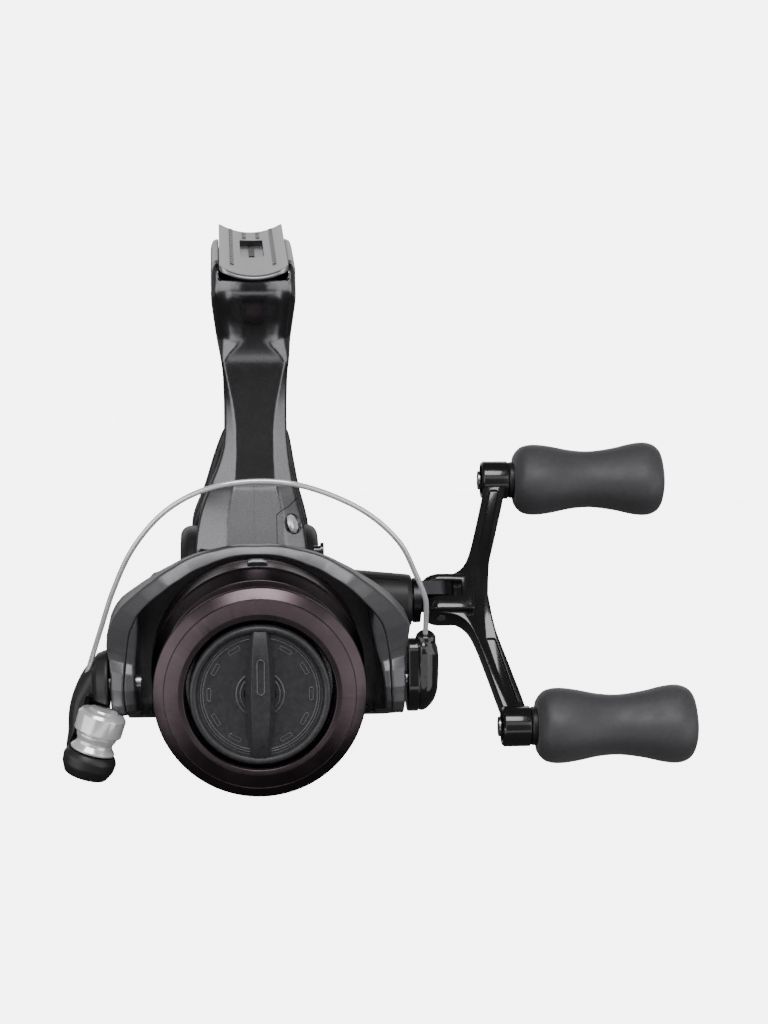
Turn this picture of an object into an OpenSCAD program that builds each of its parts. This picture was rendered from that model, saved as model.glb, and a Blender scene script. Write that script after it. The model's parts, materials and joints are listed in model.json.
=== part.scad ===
// Fixed-spool spinning reel with a front drag and a folding double handle.
// The frame: +Y runs along the main shaft to the rear, +X points to the
// handle side and +Z up to the rod. The origin is the middle of the foot's
// saddle. Inside the modules the shaft frame is used: its origin is where
// the main shaft's axis meets the plane of the spool's front lip.

/* [Foot and stem] */
// Length of the foot along the rod
foot_len = 62; // [56:1:68]
// Width of the foot
foot_w = 16.4; // [15:0.1:19]
// Radius of the foot's saddle
saddle_r = 15; // [13:0.5:17]
// Tilt of the main shaft against the foot
foot_tilt = 8; // [6:0.5:9]
// Half width of the stem just under the foot
stem_top_w = 10.2; // [9:0.1:11]
// Half width of the stem at its waist
stem_waist_w = 7.4; // [6.5:0.1:8.5]

/* [Gear case] */
// Left outer wall of the gear case
case_left = -18.3; // [-20:0.1:-18]
// Right outer wall of the gear case
case_right = 15.6; // [15:0.1:17]
// Parting plane between the housing and the side cover
case_split = 6.3; // [5.5:0.1:7.5]
// Wall thickness of the case
case_wall = 1.7; // [1.4:0.1:2]
// Front plane of the gear case
case_front = 43.6; // [43.6:0.1:44]

/* [Spool] */
// Radius of the spool's front lip
lip_r = 24; // [23:0.1:24.5]
// Radius of the arbor that the line lies on
arbor_r = 18.3; // [18:0.1:19]
// Radius of the spool's skirt
skirt_r = 24.8; // [24.2:0.1:25]
// Rear end of the skirt, behind the lip
skirt_end = 34.8; // [32:0.1:35]
// Radius of the drag knob
knob_r = 15.9; // [15:0.1:16]

/* [Rotor and bail] */
// Outer radius of the rotor's rim
rotor_r = 27.6; // [27:0.1:28.5]
// Distance from the shaft to the outside of the rotor's arm roots
rotor_arm_x = 35.5; // [34:0.1:36]
// Bail pivot, behind the lip
bail_y = 12; // [11:0.5:13]
// Forward tilt of the closed bail wire
bail_tilt = 25; // [20:1:28]
// Diameter of the bail wire
wire_d = 1.4; // [1.2:0.1:1.8]

/* [Drive] */
// Teeth on the rotor's pinion
pinion_teeth = 8; // [8:1:8]
// Teeth on the face gear
drive_teeth = 36; // [36:1:36]
// Pitch radius of the pinion
pinion_r = 3.1; // [3.1:0.1:3.1]
// Teeth on the small oscillation pinion
osc_pinion_teeth = 14; // [14:1:14]
// Module of the oscillation gears
osc_m = 0.9; // [0.9:0.05:0.9]

/* [Handle] */
// Distance from the handle's axis to each knob's axis
handle_half = 36.4; // [34:0.2:38]
// Length of a knob
knob_len = 39.2; // [34:0.2:40]
// Lean of the handle's upper arm to the rear
handle_lean = 42.5; // [30:0.5:50]

/* [Hidden] */
$fn = 96;

seat_y = 72;                         // foot's saddle in the shaft frame
seat_z = 95;
hy = 64;                             // handle axis, behind the lip
hz = 8.6;                            // handle axis, above the main shaft
shaft_r = 2;
axle_r = 3;
slip = 0.05;                         // radial running clearance
gap = 0.3;                           // gap between parts that only pass each other
ratio = drive_teeth / pinion_teeth;
mesh_off = ratio * pinion_r;         // face gear's contact point, ahead of its axis
osc_r = osc_pinion_teeth * osc_m / 2;
osc_y = 72;                          // oscillation gear's axis
osc_z = hz - sqrt(9 * osc_r * osc_r - (osc_y - hy) * (osc_y - hy));
osc_case_r = 2 * osc_r + 3.2;
tail_y = 90;                         // rear end of the case
tail_z = 2;
tail_r = 11;
gear_case_r = 19.6;
foot_rim_z = 2.7;                    // top of the saddle's sides
foot_end_z = -1;                     // underside of the foot at its two ends
foot_root_z = -5.6;                  // underside of the foot over the stem
ramp_front = -25.3;                  // inner ends of the foot's two ramps
ramp_rear = 16.3;
ramp_slope = 4 / 17;
stem_front = 47;                     // top of the stem, from front to rear
stem_rear = 88;
right_arm_x = 29.3;                  // inner face of the rotor's right arm
left_arm_x = -26.8;                  // inner face of the rotor's left arm
arm_t = 3.6;
left_arm_t = 3.2;
rod_x = -4.6;                        // the slider's guide rod
rod_z = -7;
rod_r = 1;
rod_end = 97;
cover_screws_at = [[47, 24], [83, 12], [73, -19.5]];
mesh_angle = atan2(osc_z - hz, osc_y - hy);
fold_x = 46.3;                       // fold pin, along the handle's axis
fold_r = 4.3;
arm_end_x = 58.7;                    // outer ends of the handle's arm
knob_boss_len = 8;
knob_x = arm_end_x + knob_boss_len + 0.9; // inner end of both knobs
switch_x = -1.5;                     // anti-reverse switch, at the rear underside
switch_y = 93;
switch_z = -17;
roller_at = [-37.2, 5, -12];         // middle of the line roller
roller_lean = 17;                    // lean of its axis away from the shaft
// The wire's centre line in its own plane: [x, height along the plane]
wire_knots = [[-39.2, -2], [-37.4, 8], [-32.3, 25.6], [-20.8, 45.9], [-0.9, 54.1],
              [22.2, 46.4], [34.9, 28.7], [37.5, 20], [37.5, 11]];
wire_steps = 5;
pivot_low = [-39.4, 12, -10];        // bend and end of the bail arm's web
pivot_end = [-39.4, 11, -15];

charcoal = [0.20, 0.20, 0.21];
black = [0.07, 0.07, 0.075];
gloss_black = [0.04, 0.04, 0.045];
aubergine = [0.20, 0.14, 0.14];
chrome = [0.80, 0.81, 0.83];
steel = [0.62, 0.63, 0.65];
brass = [0.72, 0.57, 0.28];
rubber = [0.13, 0.13, 0.14];
acetal = [0.85, 0.85, 0.82];
carbon = [0.25, 0.25, 0.26];

// From the shaft frame to the part's frame
module reel() translate([0, -seat_y, -seat_z]) children();
// An axis along Y, X or the handle's arms
module along_y(y) translate([0, y, 0]) rotate([-90, 0, 0]) children();
module along_x(x, y, z) translate([x, y, z]) rotate([0, 90, 0]) children();
// Handle frame: local X is the axle, local Z the direction of the upper arm
module handle_frame() translate([0, hy, hz]) rotate([-handle_lean, 0, 0]) children();
module along_rod(y) translate([rod_x, y, rod_z]) rotate([-90, 0, 0]) children();
module ring(r_out, r_in, len) difference() {
  cylinder(r = r_out, h = len);
  translate([0, 0, -1]) cylinder(r = r_in, h = len + 2);
}

// ---------- fixed body ----------
module case_outline(inset = 0) hull() {
  translate([hy, hz]) circle(r = gear_case_r - inset);
  translate([osc_y, osc_z]) circle(r = osc_case_r - inset);
  translate([tail_y, tail_z]) circle(r = tail_r - inset);
  if (inset == 0) translate([case_front, -6]) square([2, 30]);
}
// A side-view outline (Y, Z) given thickness along X
module side_plate(x0, x1) translate([x0, 0, 0])
  rotate([90, 0, 90]) linear_extrude(x1 - x0) children();
// A level slice of the stem: half width w from y0 to y1 at height z
module stem_slice(z, w, y0, y1, r = 3) for (sx = [-1, 1]) {
  translate([sx * (w - r), y0 + r, z]) cylinder(r = r, h = 1, $fn = 32);
  translate([sx * (w - r), y1 - r, z]) cylinder(r = r, h = 1, $fn = 32);
}
module foot_frame() translate([0, seat_y, seat_z]) rotate([foot_tilt, 0, 0]) children();
// Height of a ramp at a distance along the foot
function ramp_z(y) = foot_end_z - ramp_slope * (foot_len / 2 - abs(y));
// The four levels of the stem, from its top to the gear case
module stem_top() foot_frame() translate([0, -seat_y, -6])
  stem_slice(0, stem_top_w, stem_front, stem_rear);
module stem_neck() stem_slice(76, 9, 50, 80);
module stem_waist() stem_slice(58, stem_waist_w, 52.5, 73);
module stem_flare() stem_slice(38, 10.8, 46.6, 80);
module stem_root() stem_slice(14, 13.4, case_front, 84);
module foot() foot_frame() difference() {
  translate([-foot_w / 2, 0, 0])
    rotate([90, 0, 90])
      linear_extrude(foot_w)
        polygon([[-foot_len / 2, foot_rim_z], [-foot_len / 2, foot_end_z],
                 [ramp_front, ramp_z(ramp_front)], [ramp_front, foot_root_z],
                 [ramp_rear, foot_root_z], [ramp_rear, ramp_z(ramp_rear)],
                 [foot_len / 2, foot_end_z], [foot_len / 2, foot_rim_z]]);
  translate([0, foot_len, saddle_r])
    rotate([90, 0, 0])
      cylinder(r = saddle_r, h = 2 * foot_len);
  // the pocket in the saddle
  translate([-2.9, -18, -1.4])
    cube([5.8, 15, 4]);
}
module body_housing() color(charcoal) reel() {
  difference() {
    union() {
      foot();
      hull() {
        stem_top();
        stem_neck();
      }
      hull() {
        stem_neck();
        stem_waist();
      }
      hull() {
        stem_waist();
        stem_flare();
      }
      hull() {
        stem_flare();
        stem_root();
      }
      side_plate(case_left, case_split) case_outline();
      along_y(40.7) cylinder(r = 10.5, h = 8);
      translate([switch_x, 76, switch_z])
        rotate([-90, 0, 0])
          cylinder(r = 4.5, h = switch_y - 76);
    }
    side_plate(case_left + case_wall, case_right - case_wall) case_outline(case_wall);
    // room for the side cover
    side_plate(case_split, case_right + 1) cover_area();
    along_y(40) cylinder(r = 8.6, h = 3.4);
    along_y(43) cylinder(r = 6.5, h = 3.1);
    along_y(42) cylinder(r = 4.6, h = 12);
    translate([switch_x, switch_y - 4, switch_z])
      rotate([-90, 0, 0])
        cylinder(r = 1.5 + slip, h = 5);
    along_rod(50) cylinder(r = rod_r, h = 47.5);
    along_rod(rod_end) cylinder(r = 1.8, h = 5);
    along_x(case_left - 1, hy, hz) cylinder(r = 5.5, h = 4);
  }
  // seat of the left bearing and the stud of the oscillation gear
  difference() {
    along_x(case_left, hy, hz) cylinder(r = 7.5, h = 5.1);
    along_x(case_left - 1, hy, hz) cylinder(r = 5.5, h = 8);
  }
  along_x(case_left + 0.5, osc_y, osc_z) cylinder(r = 2.5, h = 8);
}
// The part of the case, in side view, that the side cover closes
module cover_area() translate([40, -28]) square([64, 56]);
module side_cover() color(charcoal) reel() difference() {
  intersection() {
    side_plate(case_split, case_right) case_outline();
    side_plate(case_split, case_right) cover_area();
  }
  side_plate(case_split - 1, case_right - case_wall) case_outline(case_wall);
  along_y(40) cylinder(r = 10.5 + gap / 2, h = 8);
  along_x(case_right - 4, hy, hz) cylinder(r = 7.2, h = 6);
  for (p = cover_screws_at)
    along_x(case_right - 6, p[0], p[1]) cylinder(r = 1.5, h = 8);
}
module rear_guard() color(black) reel() {
  difference() {
    side_plate(-13, 11) intersection() {
      guard_outline();
      translate([80, -4]) square([40, 26]);
    }
    side_plate(-14, 12) case_outline();
    hull() {
      stem_flare();
      stem_root();
    }
  }
}
// The guard stands a little proud of the case
module guard_outline(proud = 2.2) hull() {
  translate([hy, hz]) circle(r = gear_case_r + proud);
  translate([osc_y, osc_z]) circle(r = osc_case_r + proud);
  translate([tail_y, tail_z]) circle(r = tail_r + proud);
}
module cover_screws() color(gloss_black) reel()
  for (p = cover_screws_at) {
    along_x(case_right - case_wall + 0.1, p[0], p[1]) cylinder(r = 1.45, h = 1.6);
    along_x(case_right, p[0], p[1]) cylinder(r = 2.2, h = 0.8);
  }
module handle_boss() color(black) reel() along_x(case_right - 4, hy, hz) difference() {
  union() {
    cylinder(r = 7.2, h = 4);
    translate([0, 0, 4]) cylinder(r1 = 8.6, r2 = 6.5, h = 23.4);
  }
  translate([0, 0, -1]) cylinder(r = 4, h = 40);
  translate([0, 0, 20]) cylinder(r = 5.5, h = 12);
}
module left_bearing() color(steel) reel()
  along_x(-16.9, hy, hz) ring(5.5, axle_r + slip, 3.6);
module right_bearing() color(steel) reel()
  along_x(32, hy, hz) ring(5.5, axle_r + slip, 4);
module axle_cap() color(black) reel() along_x(-26.3, hy, hz) {
  cylinder(r1 = 7, r2 = 9, h = 5);
  translate([0, 0, 5]) cylinder(r = 9, h = 3);
}
module front_bearing() color(steel) reel() along_y(43.4) ring(6.5, 3.45, 2.6);
module one_way_clutch() color(steel) reel() along_y(41.2) ring(8.6, 3.45, 2.1);
module bearing_retainer() color(steel) reel() along_y(40.75) ring(8.6, 4.2, 0.4);
module guide_rod() color(steel) reel() along_rod(56) cylinder(r = rod_r, h = 41);
module guide_screw() color(steel) reel() along_rod(rod_end) cylinder(r = 1.8, h = 1.2);
module reverse_lever() color(black) reel() translate([switch_x, switch_y - 3, switch_z])
  rotate([-90, 0, 0]) {
    cylinder(r = 1.5, h = 3.4);
    translate([0, 0, 3.3]) cylinder(r = 4, h = 2.2);
    translate([-1.5, 0, 3.3]) cube([3, 8, 2.2]);
  }

// ---------- drive ----------
// Face gear: straight teeth that pass the pinion parallel to its own teeth
module drive_gear() color(brass) reel() translate([0, hy, hz]) difference() {
  union() {
    along_x(4.1, 0, 0) cylinder(r = 17.2, h = 2.4);
    along_x(4.1, 0, 0) cylinder(r = 6, h = 6);
    for (i = [0:drive_teeth - 1]) rotate([(i + 0.5) * 360 / drive_teeth, 0, 0])
      translate([2.75, -mesh_off - 1, -hz - 0.3]) cube([1.5, 2.8, 0.6]);
  }
  along_x(0, 0, 0) cylinder(r = axle_r, h = 20);
  for (a = [0:60:300]) rotate([a, 0, 0]) along_x(0, 10.6, 0) cylinder(r = 2.8, h = 20);
}
module drive_shaft() color(steel) reel() translate([0, hy, hz]) {
  along_x(-17.8, 0, 0) cylinder(r = axle_r, h = 57.6);
  along_x(39.4, 0, 0) cylinder(r = 5.6, h = 1.8);
  rotate([-handle_lean, 0, 0]) difference() {
    translate([0, 0, -1]) union() {
      translate([41, -fold_r, 0]) cube([fold_x - 41, 2 * fold_r, 4]);
      translate([fold_x, 0, 0]) cylinder(r = fold_r, h = 4);
    }
    translate([fold_x, 0, -5]) cylinder(r = 1.2 + slip, h = 14);
  }
}
module spur(teeth, m, thick, bore) {
  r = teeth * m / 2;
  difference() {
    union() {
      cylinder(r = r - 1.1 * m, h = thick);
      for (i = [0:teeth - 1]) rotate(i * 360 / teeth) linear_extrude(thick)
        polygon([[r - 1.3 * m, -0.62 * m], [r, -0.50 * m], [r + 0.8 * m, -0.20 * m],
                 [r + 0.8 * m, 0.20 * m], [r, 0.50 * m], [r - 1.3 * m, 0.62 * m]]);
    }
    translate([0, 0, -1]) cylinder(r = bore, h = thick + 2);
  }
}
module osc_pinion() color(brass) reel() translate([-12.6, hy, hz])
  rotate([mesh_angle, 0, 0]) rotate([90, 0, 90]) spur(osc_pinion_teeth, osc_m, 3, axle_r);
module oscillation_gear() color(acetal) reel() translate([-12.6, osc_y, osc_z])
  rotate([mesh_angle + 180 + 90 / osc_pinion_teeth, 0, 0]) rotate([90, 0, 90]) {
    spur(2 * osc_pinion_teeth, osc_m, 2.7, 2.5 + slip);
    translate([6.7, 0, 2.6]) cylinder(r = 1.6, h = 2.4);
  }

// ---------- handle ----------
module handle_hub() color(gloss_black) reel() handle_frame() difference() {
  union() {
    translate([fold_x, 0, -5.2]) cylinder(r = fold_r, h = 10.4);
    translate([fold_x, -fold_r, -5.2]) cube([7.2, 2 * fold_r, 10.4]);
  }
  translate([fold_x - 6, -6, -1.2]) cube([10.8, 12, 4.4]);
  translate([fold_x, 0, -6]) cylinder(r = 1.2, h = 14);
}
module fold_pin() color(steel) reel() handle_frame()
  translate([fold_x, 0, -5.5]) cylinder(r = 1.2, h = 10.7);
module handle_arm() color(gloss_black) reel() handle_frame() {
  translate([0, 2.5, 0]) rotate([90, 0, 0]) linear_extrude(5) for (s = [-1, 1])
    polygon([[53.5, 0], [53.5, s * 5.2], [52.8, s * 8], [55.2, s * 20], [arm_end_x, s * 32],
             [arm_end_x, s * (handle_half + 4)], [arm_end_x + 5, s * (handle_half + 4)],
             [arm_end_x + 5, s * 31], [60.4, s * 20], [57.8, s * 8], [57.2, 0]]);
  for (s = [-1, 1])
    along_x(arm_end_x, 0, s * handle_half) cylinder(r = 5, h = knob_boss_len);
}
module knob_posts() color(steel) reel() handle_frame() for (s = [-1, 1]) {
  along_x(arm_end_x + knob_boss_len, 0, s * handle_half) cylinder(r = 3, h = 34);
  along_x(arm_end_x - 0.4, 0, s * handle_half) cylinder(r = 2.4, h = 0.4);
}
// One oval knob: two bulges with a waist between them
module knob_section(x, ry, rz) translate([x, 0, 0]) rotate([0, 90, 0])
  linear_extrude(0.4) scale([rz, ry]) circle(r = 1, $fn = 32);
module knob_bulge(x) knob_section(x, 8.2, 8.8);
module knob_waist() knob_section(18.5, 6.6, 7.2);
module knob(s) color(rubber) reel() handle_frame()
  translate([knob_x, 0, s * handle_half]) difference() {
  union() {
    hull() {
      knob_section(0, 6.6, 6.8);
      knob_bulge(4.5);
      knob_bulge(9);
    }
    hull() {
      knob_bulge(9);
      knob_waist();
    }
    hull() {
      knob_waist();
      knob_bulge(29);
    }
    hull() {
      knob_bulge(29);
      knob_bulge(35);
      knob_section(knob_len - 0.4, 6, 6.6);
    }
  }
  along_x(-1, 0, 0) cylinder(r = 3 + slip, h = 35);
  along_x(33.5, 0, 0) cylinder(r = 4.2, h = 8);
}
module knob_cap(s) color(rubber) reel() handle_frame()
  along_x(knob_x + 36, 0, s * handle_half) cylinder(r = 4.2, h = 2.2);

// ---------- rotor ----------
module arm_outline() hull() {
  translate([bail_y, 0]) circle(r = 8);
  translate([34, -12]) square([4, 26]);
}
module arm_plate(x0, x1) side_plate(x0, x1) arm_outline();
module rotor() color(charcoal) reel() difference() {
  union() {
    along_y(35) linear_extrude(7.2) hull() {
      circle(r = rotor_r);
      for (sx = [-1, 1], sz = [-1, 1])
        translate([sx * (rotor_arm_x - 5), sz * 9]) circle(r = 5);
    }
    arm_plate(right_arm_x, right_arm_x + arm_t);
    arm_plate(left_arm_x - left_arm_t, left_arm_x);
    along_y(33.5) cylinder(r = 6, h = 7);
  }
  difference() {
    along_y(34.9) cylinder(r = rotor_r - 1.9, h = 8);
    along_y(38) cylinder(r = rotor_r, h = 2.3);
    along_y(33) cylinder(r = 6, h = 7);
  }
  along_y(30) cylinder(r = 3.4, h = 20);
  for (x = [right_arm_x - 1, left_arm_x - arm_t - 1])
    along_x(x, bail_y, 0) cylinder(r = 2, h = arm_t + 2);
}
module pinion_gear() color(brass) reel() difference() {
  union() {
    along_y(31.4) cylinder(r = 3.4, h = 15.8);
    along_y(47) cylinder(r = 2.65, h = 5.8);
    for (i = [0:pinion_teeth - 1]) rotate([0, i * 360 / pinion_teeth, 0])
      translate([0, 47.2, 0]) rotate([-90, 0, 0]) linear_extrude(5.6)
        polygon([[2.4, -0.5], [pinion_r, -0.38], [3.9, -0.18], [3.9, 0.18],
                 [pinion_r, 0.38], [2.4, 0.5]]);
  }
  along_y(30) cylinder(r = shaft_r + 0.35, h = 30);
}
module rotor_nut() color(steel) reel() along_y(31.4) difference() {
  cylinder(r = 5.8, h = 2.1, $fn = 6);
  translate([0, 0, -1]) cylinder(r = 3.4, h = 5, $fn = 96);
}
module arm_cover(x0) side_plate(x0, x0 + 0.9) hull() {
  translate([20, 0]) circle(r = 5);
  translate([31, -7]) square([2.5, 16]);
}
module arm_cover_left() color(black) reel() arm_cover(left_arm_x);
module arm_cover_right() color(black) reel() arm_cover(right_arm_x - 0.9);
module pivot_screws() color(steel) reel() {
  along_x(left_arm_x - 10, bail_y, 0) cylinder(r = 2, h = 10);
  along_x(left_arm_x - 10.8, bail_y, 0) cylinder(r = 3, h = 0.8);
  along_x(right_arm_x, bail_y, 0) cylinder(r = 2, h = 9.6);
}

// ---------- bail ----------
module roller_frame() translate(roller_at) rotate([0, roller_lean, 0]) children();
module bail_arm_web() {
  hull() {
    along_x(-37.6, bail_y, 0) cylinder(r = 5, h = 5, $fn = 32);
    translate(pivot_low) sphere(r = 2.6, $fn = 32);
  }
  hull() {
    translate(pivot_low) sphere(r = 2.6, $fn = 32);
    translate(pivot_end) sphere(r = 2.6, $fn = 32);
  }
}
module bail_arm() color(black) reel() difference() {
  union() {
    along_x(-36.4, bail_y, 0) cylinder(r = 6.6, h = 5.7);
    bail_arm_web();
  }
  along_x(-45, bail_y, 0) cylinder(r = 2 + slip, h = 20);
  along_x(-45, bail_y, 0) cylinder(r = 3.4, h = 8.6);
  roller_frame() translate([0, 0, -2.4]) cylinder(r = 5.3, h = 10.8);
}
module wire_cap() color(chrome) reel() roller_frame() difference() {
  union() {
    translate([0, 0, 2.2]) cylinder(r = 5.2, h = 5);
    translate([0, 0, 2.2]) cylinder(r = 3, h = 6);
  }
  translate([0, 0, 1]) cylinder(r = 2, h = 3);
}
module roller_pin() color(steel) reel() roller_frame()
  translate([0, 0, -3.5]) cylinder(r = 2, h = 7.4);
module line_roller() color(chrome) reel() roller_frame() rotate_extrude()
  polygon([[2 + slip, -2], [5, -2], [5, -1.4], [3.9, -0.2], [3.9, 0.4], [4.7, 1.5],
           [4.7, 2], [2 + slip, 2]]);
module arm_end_cover() color(black) reel() difference() {
  hull() {
    roller_frame() translate([0, 0, -3.2]) cylinder(r = 5, h = 0.9, $fn = 32);
    roller_frame() translate([0, 1.5, -6.2]) sphere(r = 3.6, $fn = 32);
  }
  roller_frame() translate([0, 0, -3.5]) cylinder(r = 2, h = 5);
  bail_arm_web();
}
function catmull(p, i, t) = let(
  a = p[max(i - 1, 0)], b = p[i], c = p[i + 1], d = p[min(i + 2, len(p) - 1)])
  0.5 * (2 * b + (c - a) * t + (2 * a - 5 * b + 4 * c - d) * t * t
         + (3 * b - 3 * c + d - a) * t * t * t);
function lay_on_bail(q) = [q[0], bail_y - q[1] * sin(bail_tilt), q[1] * cos(bail_tilt)];
wire_path = [for (i = [0:len(wire_knots) - 2], k = [0:wire_steps - 1])
    lay_on_bail(catmull(wire_knots, i, k / wire_steps)),
  lay_on_bail(wire_knots[len(wire_knots) - 1])];
module tube(path, r, sides = 10) {
  n = len(path);
  up = [0, cos(bail_tilt), sin(bail_tilt)];
  function heading(i) = let(d = path[min(i + 1, n - 1)] - path[max(i - 1, 0)]) d / norm(d);
  points = [for (i = [0:n - 1]) let(side = cross(heading(i), up)) for (k = [0:sides - 1])
    path[i] + r * (cos(360 * k / sides) * up + sin(360 * k / sides) * side)];
  faces = concat([[for (k = [0:sides - 1]) k]],
    [for (i = [0:n - 2], k = [0:sides - 1])
      [i * sides + k, (i + 1) * sides + k, (i + 1) * sides + (k + 1) % sides,
       i * sides + (k + 1) % sides]],
    [[for (k = [sides - 1:-1:0]) (n - 1) * sides + k]]);
  polyhedron(points, faces);
}
module bail_wire() color(chrome) reel() tube(wire_path, wire_d / 2);
module bail_lever() color(gloss_black) reel() difference() {
  side_plate(right_arm_x + arm_t + gap, 39.8) hull() {
    translate([bail_y, 0]) circle(r = 7.1);
    translate([8, 9]) circle(r = 2.8);
  }
  along_x(20, bail_y, 0) cylinder(r = 2 + slip, h = 30);
}
module lever_screw() color(steel) reel() along_x(39.8, bail_y, 0) cylinder(r = 3, h = 0.9);

// ---------- main shaft and spool ----------
module main_shaft() color(steel) reel() along_y(-1.5) cylinder(r = shaft_r, h = 92);
module slider() color(acetal) reel() difference() {
  translate([-6.4, 78, -9]) cube([8.8, 10, 14]);
  along_y(70) cylinder(r = shaft_r, h = 30);
  along_rod(70) cylinder(r = rod_r + slip, h = 30);
  translate([-7, 81.2, -10]) cube([1.4, 3.6, 20]);
}
module click_gear() color(steel) reel() along_y(15.3) difference() {
  union() {
    cylinder(r = 7.4, h = 1.6);
    for (i = [0:23]) rotate(i * 15) translate([7, -0.5, 0]) cube([1.4, 1, 1.6]);
    cylinder(r = 3.8, h = 7);
  }
  translate([0, 0, -1]) cylinder(r = shaft_r, h = 12);
}
module spool_body() color(aubergine) reel() along_y(0) rotate_extrude() polygon([
  [shaft_r + slip, 8.6], [5, 8.6], [5, 12], [16.6, 12], [16.6, 1.5], [arbor_r, 1.5],
  [arbor_r, 15.6], [22.6, 16], [24.4, 21], [skirt_r, 21.5], [skirt_r, skirt_end],
  [skirt_r - 1.6, skirt_end], [skirt_r - 1.6, 19.5], [16.6, 18.6], [16.6, 15],
  [shaft_r + slip, 15]]);
module spool_lip() color(aubergine) reel() along_y(0) rotate_extrude() polygon([
  [16.6, 1.5], [16.9, -2.6], [17.2, -3.2], [18.3, -3.1], [21.45, -2], [lip_r - 0.2, -0.6],
  [lip_r, 0], [lip_r - 0.3, 0.8], [21, 1.5]]);
module line_clip() color(gloss_black) reel()
  translate([-2.4, 25, skirt_r - 0.1]) cube([4.8, 5, 1]);
module drag_washers() color(carbon) reel() for (y = [8.7, 9.8, 10.9])
  along_y(y) ring(16.3, 5.2, 1);
module washer_ring() color(steel) reel() along_y(8) ring(16.6, 15, 0.6);
module drag_knob() color(charcoal) reel() along_y(0) rotate_extrude() polygon([
  [3.8, -1.7], [13.7, -1.7], [14.2, -3], [15, -3.4], [15.7, -3], [knob_r, -2],
  [knob_r, 3], [14, 3], [14, 0], [3.8, 0]]);
module drag_bar() color(charcoal) reel() difference() {
  union() {
    translate([-2, -5, -13.6]) cube([4, 3.3, 27.2]);
    along_y(-3.4) cylinder(r = 5.2, h = 1.7);
    along_y(-2) cylinder(r = 3.8, h = 4);
  }
  along_y(-1.7) cylinder(r = shaft_r + slip, h = 10);
}
module drag_nut() color(brass) reel() along_y(2.2) difference() {
  cylinder(r = 5, h = 3.2, $fn = 6);
  translate([0, 0, -1]) cylinder(r = shaft_r + slip, h = 8, $fn = 96);
}
module pressure_plate() color(steel) reel() along_y(6) ring(14.4, shaft_r + slip, 1.2);

body_housing();
side_cover();
rear_guard();
cover_screws();
handle_boss();
axle_cap();
left_bearing();
right_bearing();
front_bearing();
bearing_retainer();
one_way_clutch();
guide_rod();
guide_screw();
reverse_lever();
drive_gear();
drive_shaft();
osc_pinion();
oscillation_gear();
handle_hub();
handle_arm();
fold_pin();
knob_posts();
knob(1);  // knob_upper
knob(-1);  // knob_lower
knob_cap(1);  // knob_cap_upper
knob_cap(-1);  // knob_cap_lower
rotor();
pinion_gear();
rotor_nut();
arm_cover_left();
arm_cover_right();
pivot_screws();
bail_arm();
bail_wire();
wire_cap();
roller_pin();
arm_end_cover();
line_roller();
bail_lever();
lever_screw();
main_shaft();
slider();
click_gear();
spool_body();
spool_lip();
line_clip();
drag_washers();
washer_ring();
drag_knob();
drag_bar();
drag_nut();
pressure_plate();
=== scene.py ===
"""Looks of the spinning reel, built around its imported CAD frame."""
import json
import math

import bmesh
import bpy
import numpy as np
from mathutils import Matrix, Vector


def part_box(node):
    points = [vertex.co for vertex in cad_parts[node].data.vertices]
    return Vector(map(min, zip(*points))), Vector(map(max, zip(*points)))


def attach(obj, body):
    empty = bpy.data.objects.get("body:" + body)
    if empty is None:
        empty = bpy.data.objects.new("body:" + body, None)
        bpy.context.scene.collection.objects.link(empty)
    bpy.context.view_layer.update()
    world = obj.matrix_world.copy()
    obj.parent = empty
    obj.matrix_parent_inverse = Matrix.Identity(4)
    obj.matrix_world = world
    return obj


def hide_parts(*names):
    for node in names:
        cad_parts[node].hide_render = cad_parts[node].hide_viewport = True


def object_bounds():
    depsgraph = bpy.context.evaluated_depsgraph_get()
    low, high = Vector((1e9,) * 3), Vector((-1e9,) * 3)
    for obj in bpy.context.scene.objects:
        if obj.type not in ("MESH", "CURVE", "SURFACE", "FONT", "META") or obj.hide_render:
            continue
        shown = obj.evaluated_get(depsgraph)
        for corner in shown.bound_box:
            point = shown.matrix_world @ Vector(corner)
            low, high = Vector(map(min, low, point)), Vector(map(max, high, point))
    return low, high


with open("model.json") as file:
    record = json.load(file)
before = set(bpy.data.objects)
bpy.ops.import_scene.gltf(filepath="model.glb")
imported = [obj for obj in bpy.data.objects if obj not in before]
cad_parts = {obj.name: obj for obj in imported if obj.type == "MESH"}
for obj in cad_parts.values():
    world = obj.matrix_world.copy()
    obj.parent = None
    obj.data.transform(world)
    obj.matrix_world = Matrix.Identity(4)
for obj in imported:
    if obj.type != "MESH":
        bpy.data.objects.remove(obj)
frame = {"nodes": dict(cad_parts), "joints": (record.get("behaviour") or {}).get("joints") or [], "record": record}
cad_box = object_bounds()

# -------- places
# Pieces are drawn in the shaft frame, in millimetres: its origin is where the
# main shaft's axis meets the plane of the spool's front lip, +Y runs to the
# rear, +X to the handle and +Z up to the rod.
MM = 0.001
WELD_GAP = 0.01 * MM
JOINT = {j["name"]: j for j in frame["joints"]}
LIP_FACE = 3.2  # the lip's inner edge stands this far ahead
ORIGIN = Vector((0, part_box("spool_lip")[0].y + LIP_FACE * MM,
                 JOINT["rotor_spin"]["pos_m"][2]))


def joint_place(name):
    return (Vector(JOINT[name]["pos_m"]) - ORIGIN) / MM


HANDLE = joint_place("handle_spin")
FOLD_X = joint_place("handle_fold").x
ARMS_UP = Vector(JOINT["handle_fold"]["axis"])
BAIL_Y = joint_place("bail_open").y
ROLLER = joint_place("line_roller_spin")
ROLLER_AXIS = Vector(JOINT["line_roller_spin"]["axis"])
SEAT = -ORIGIN / MM  # the foot's saddle, at the row's origin
FOOT_TILT = math.radians(8)

SHAFT = Matrix.Translation((0, 0, 0))
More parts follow.
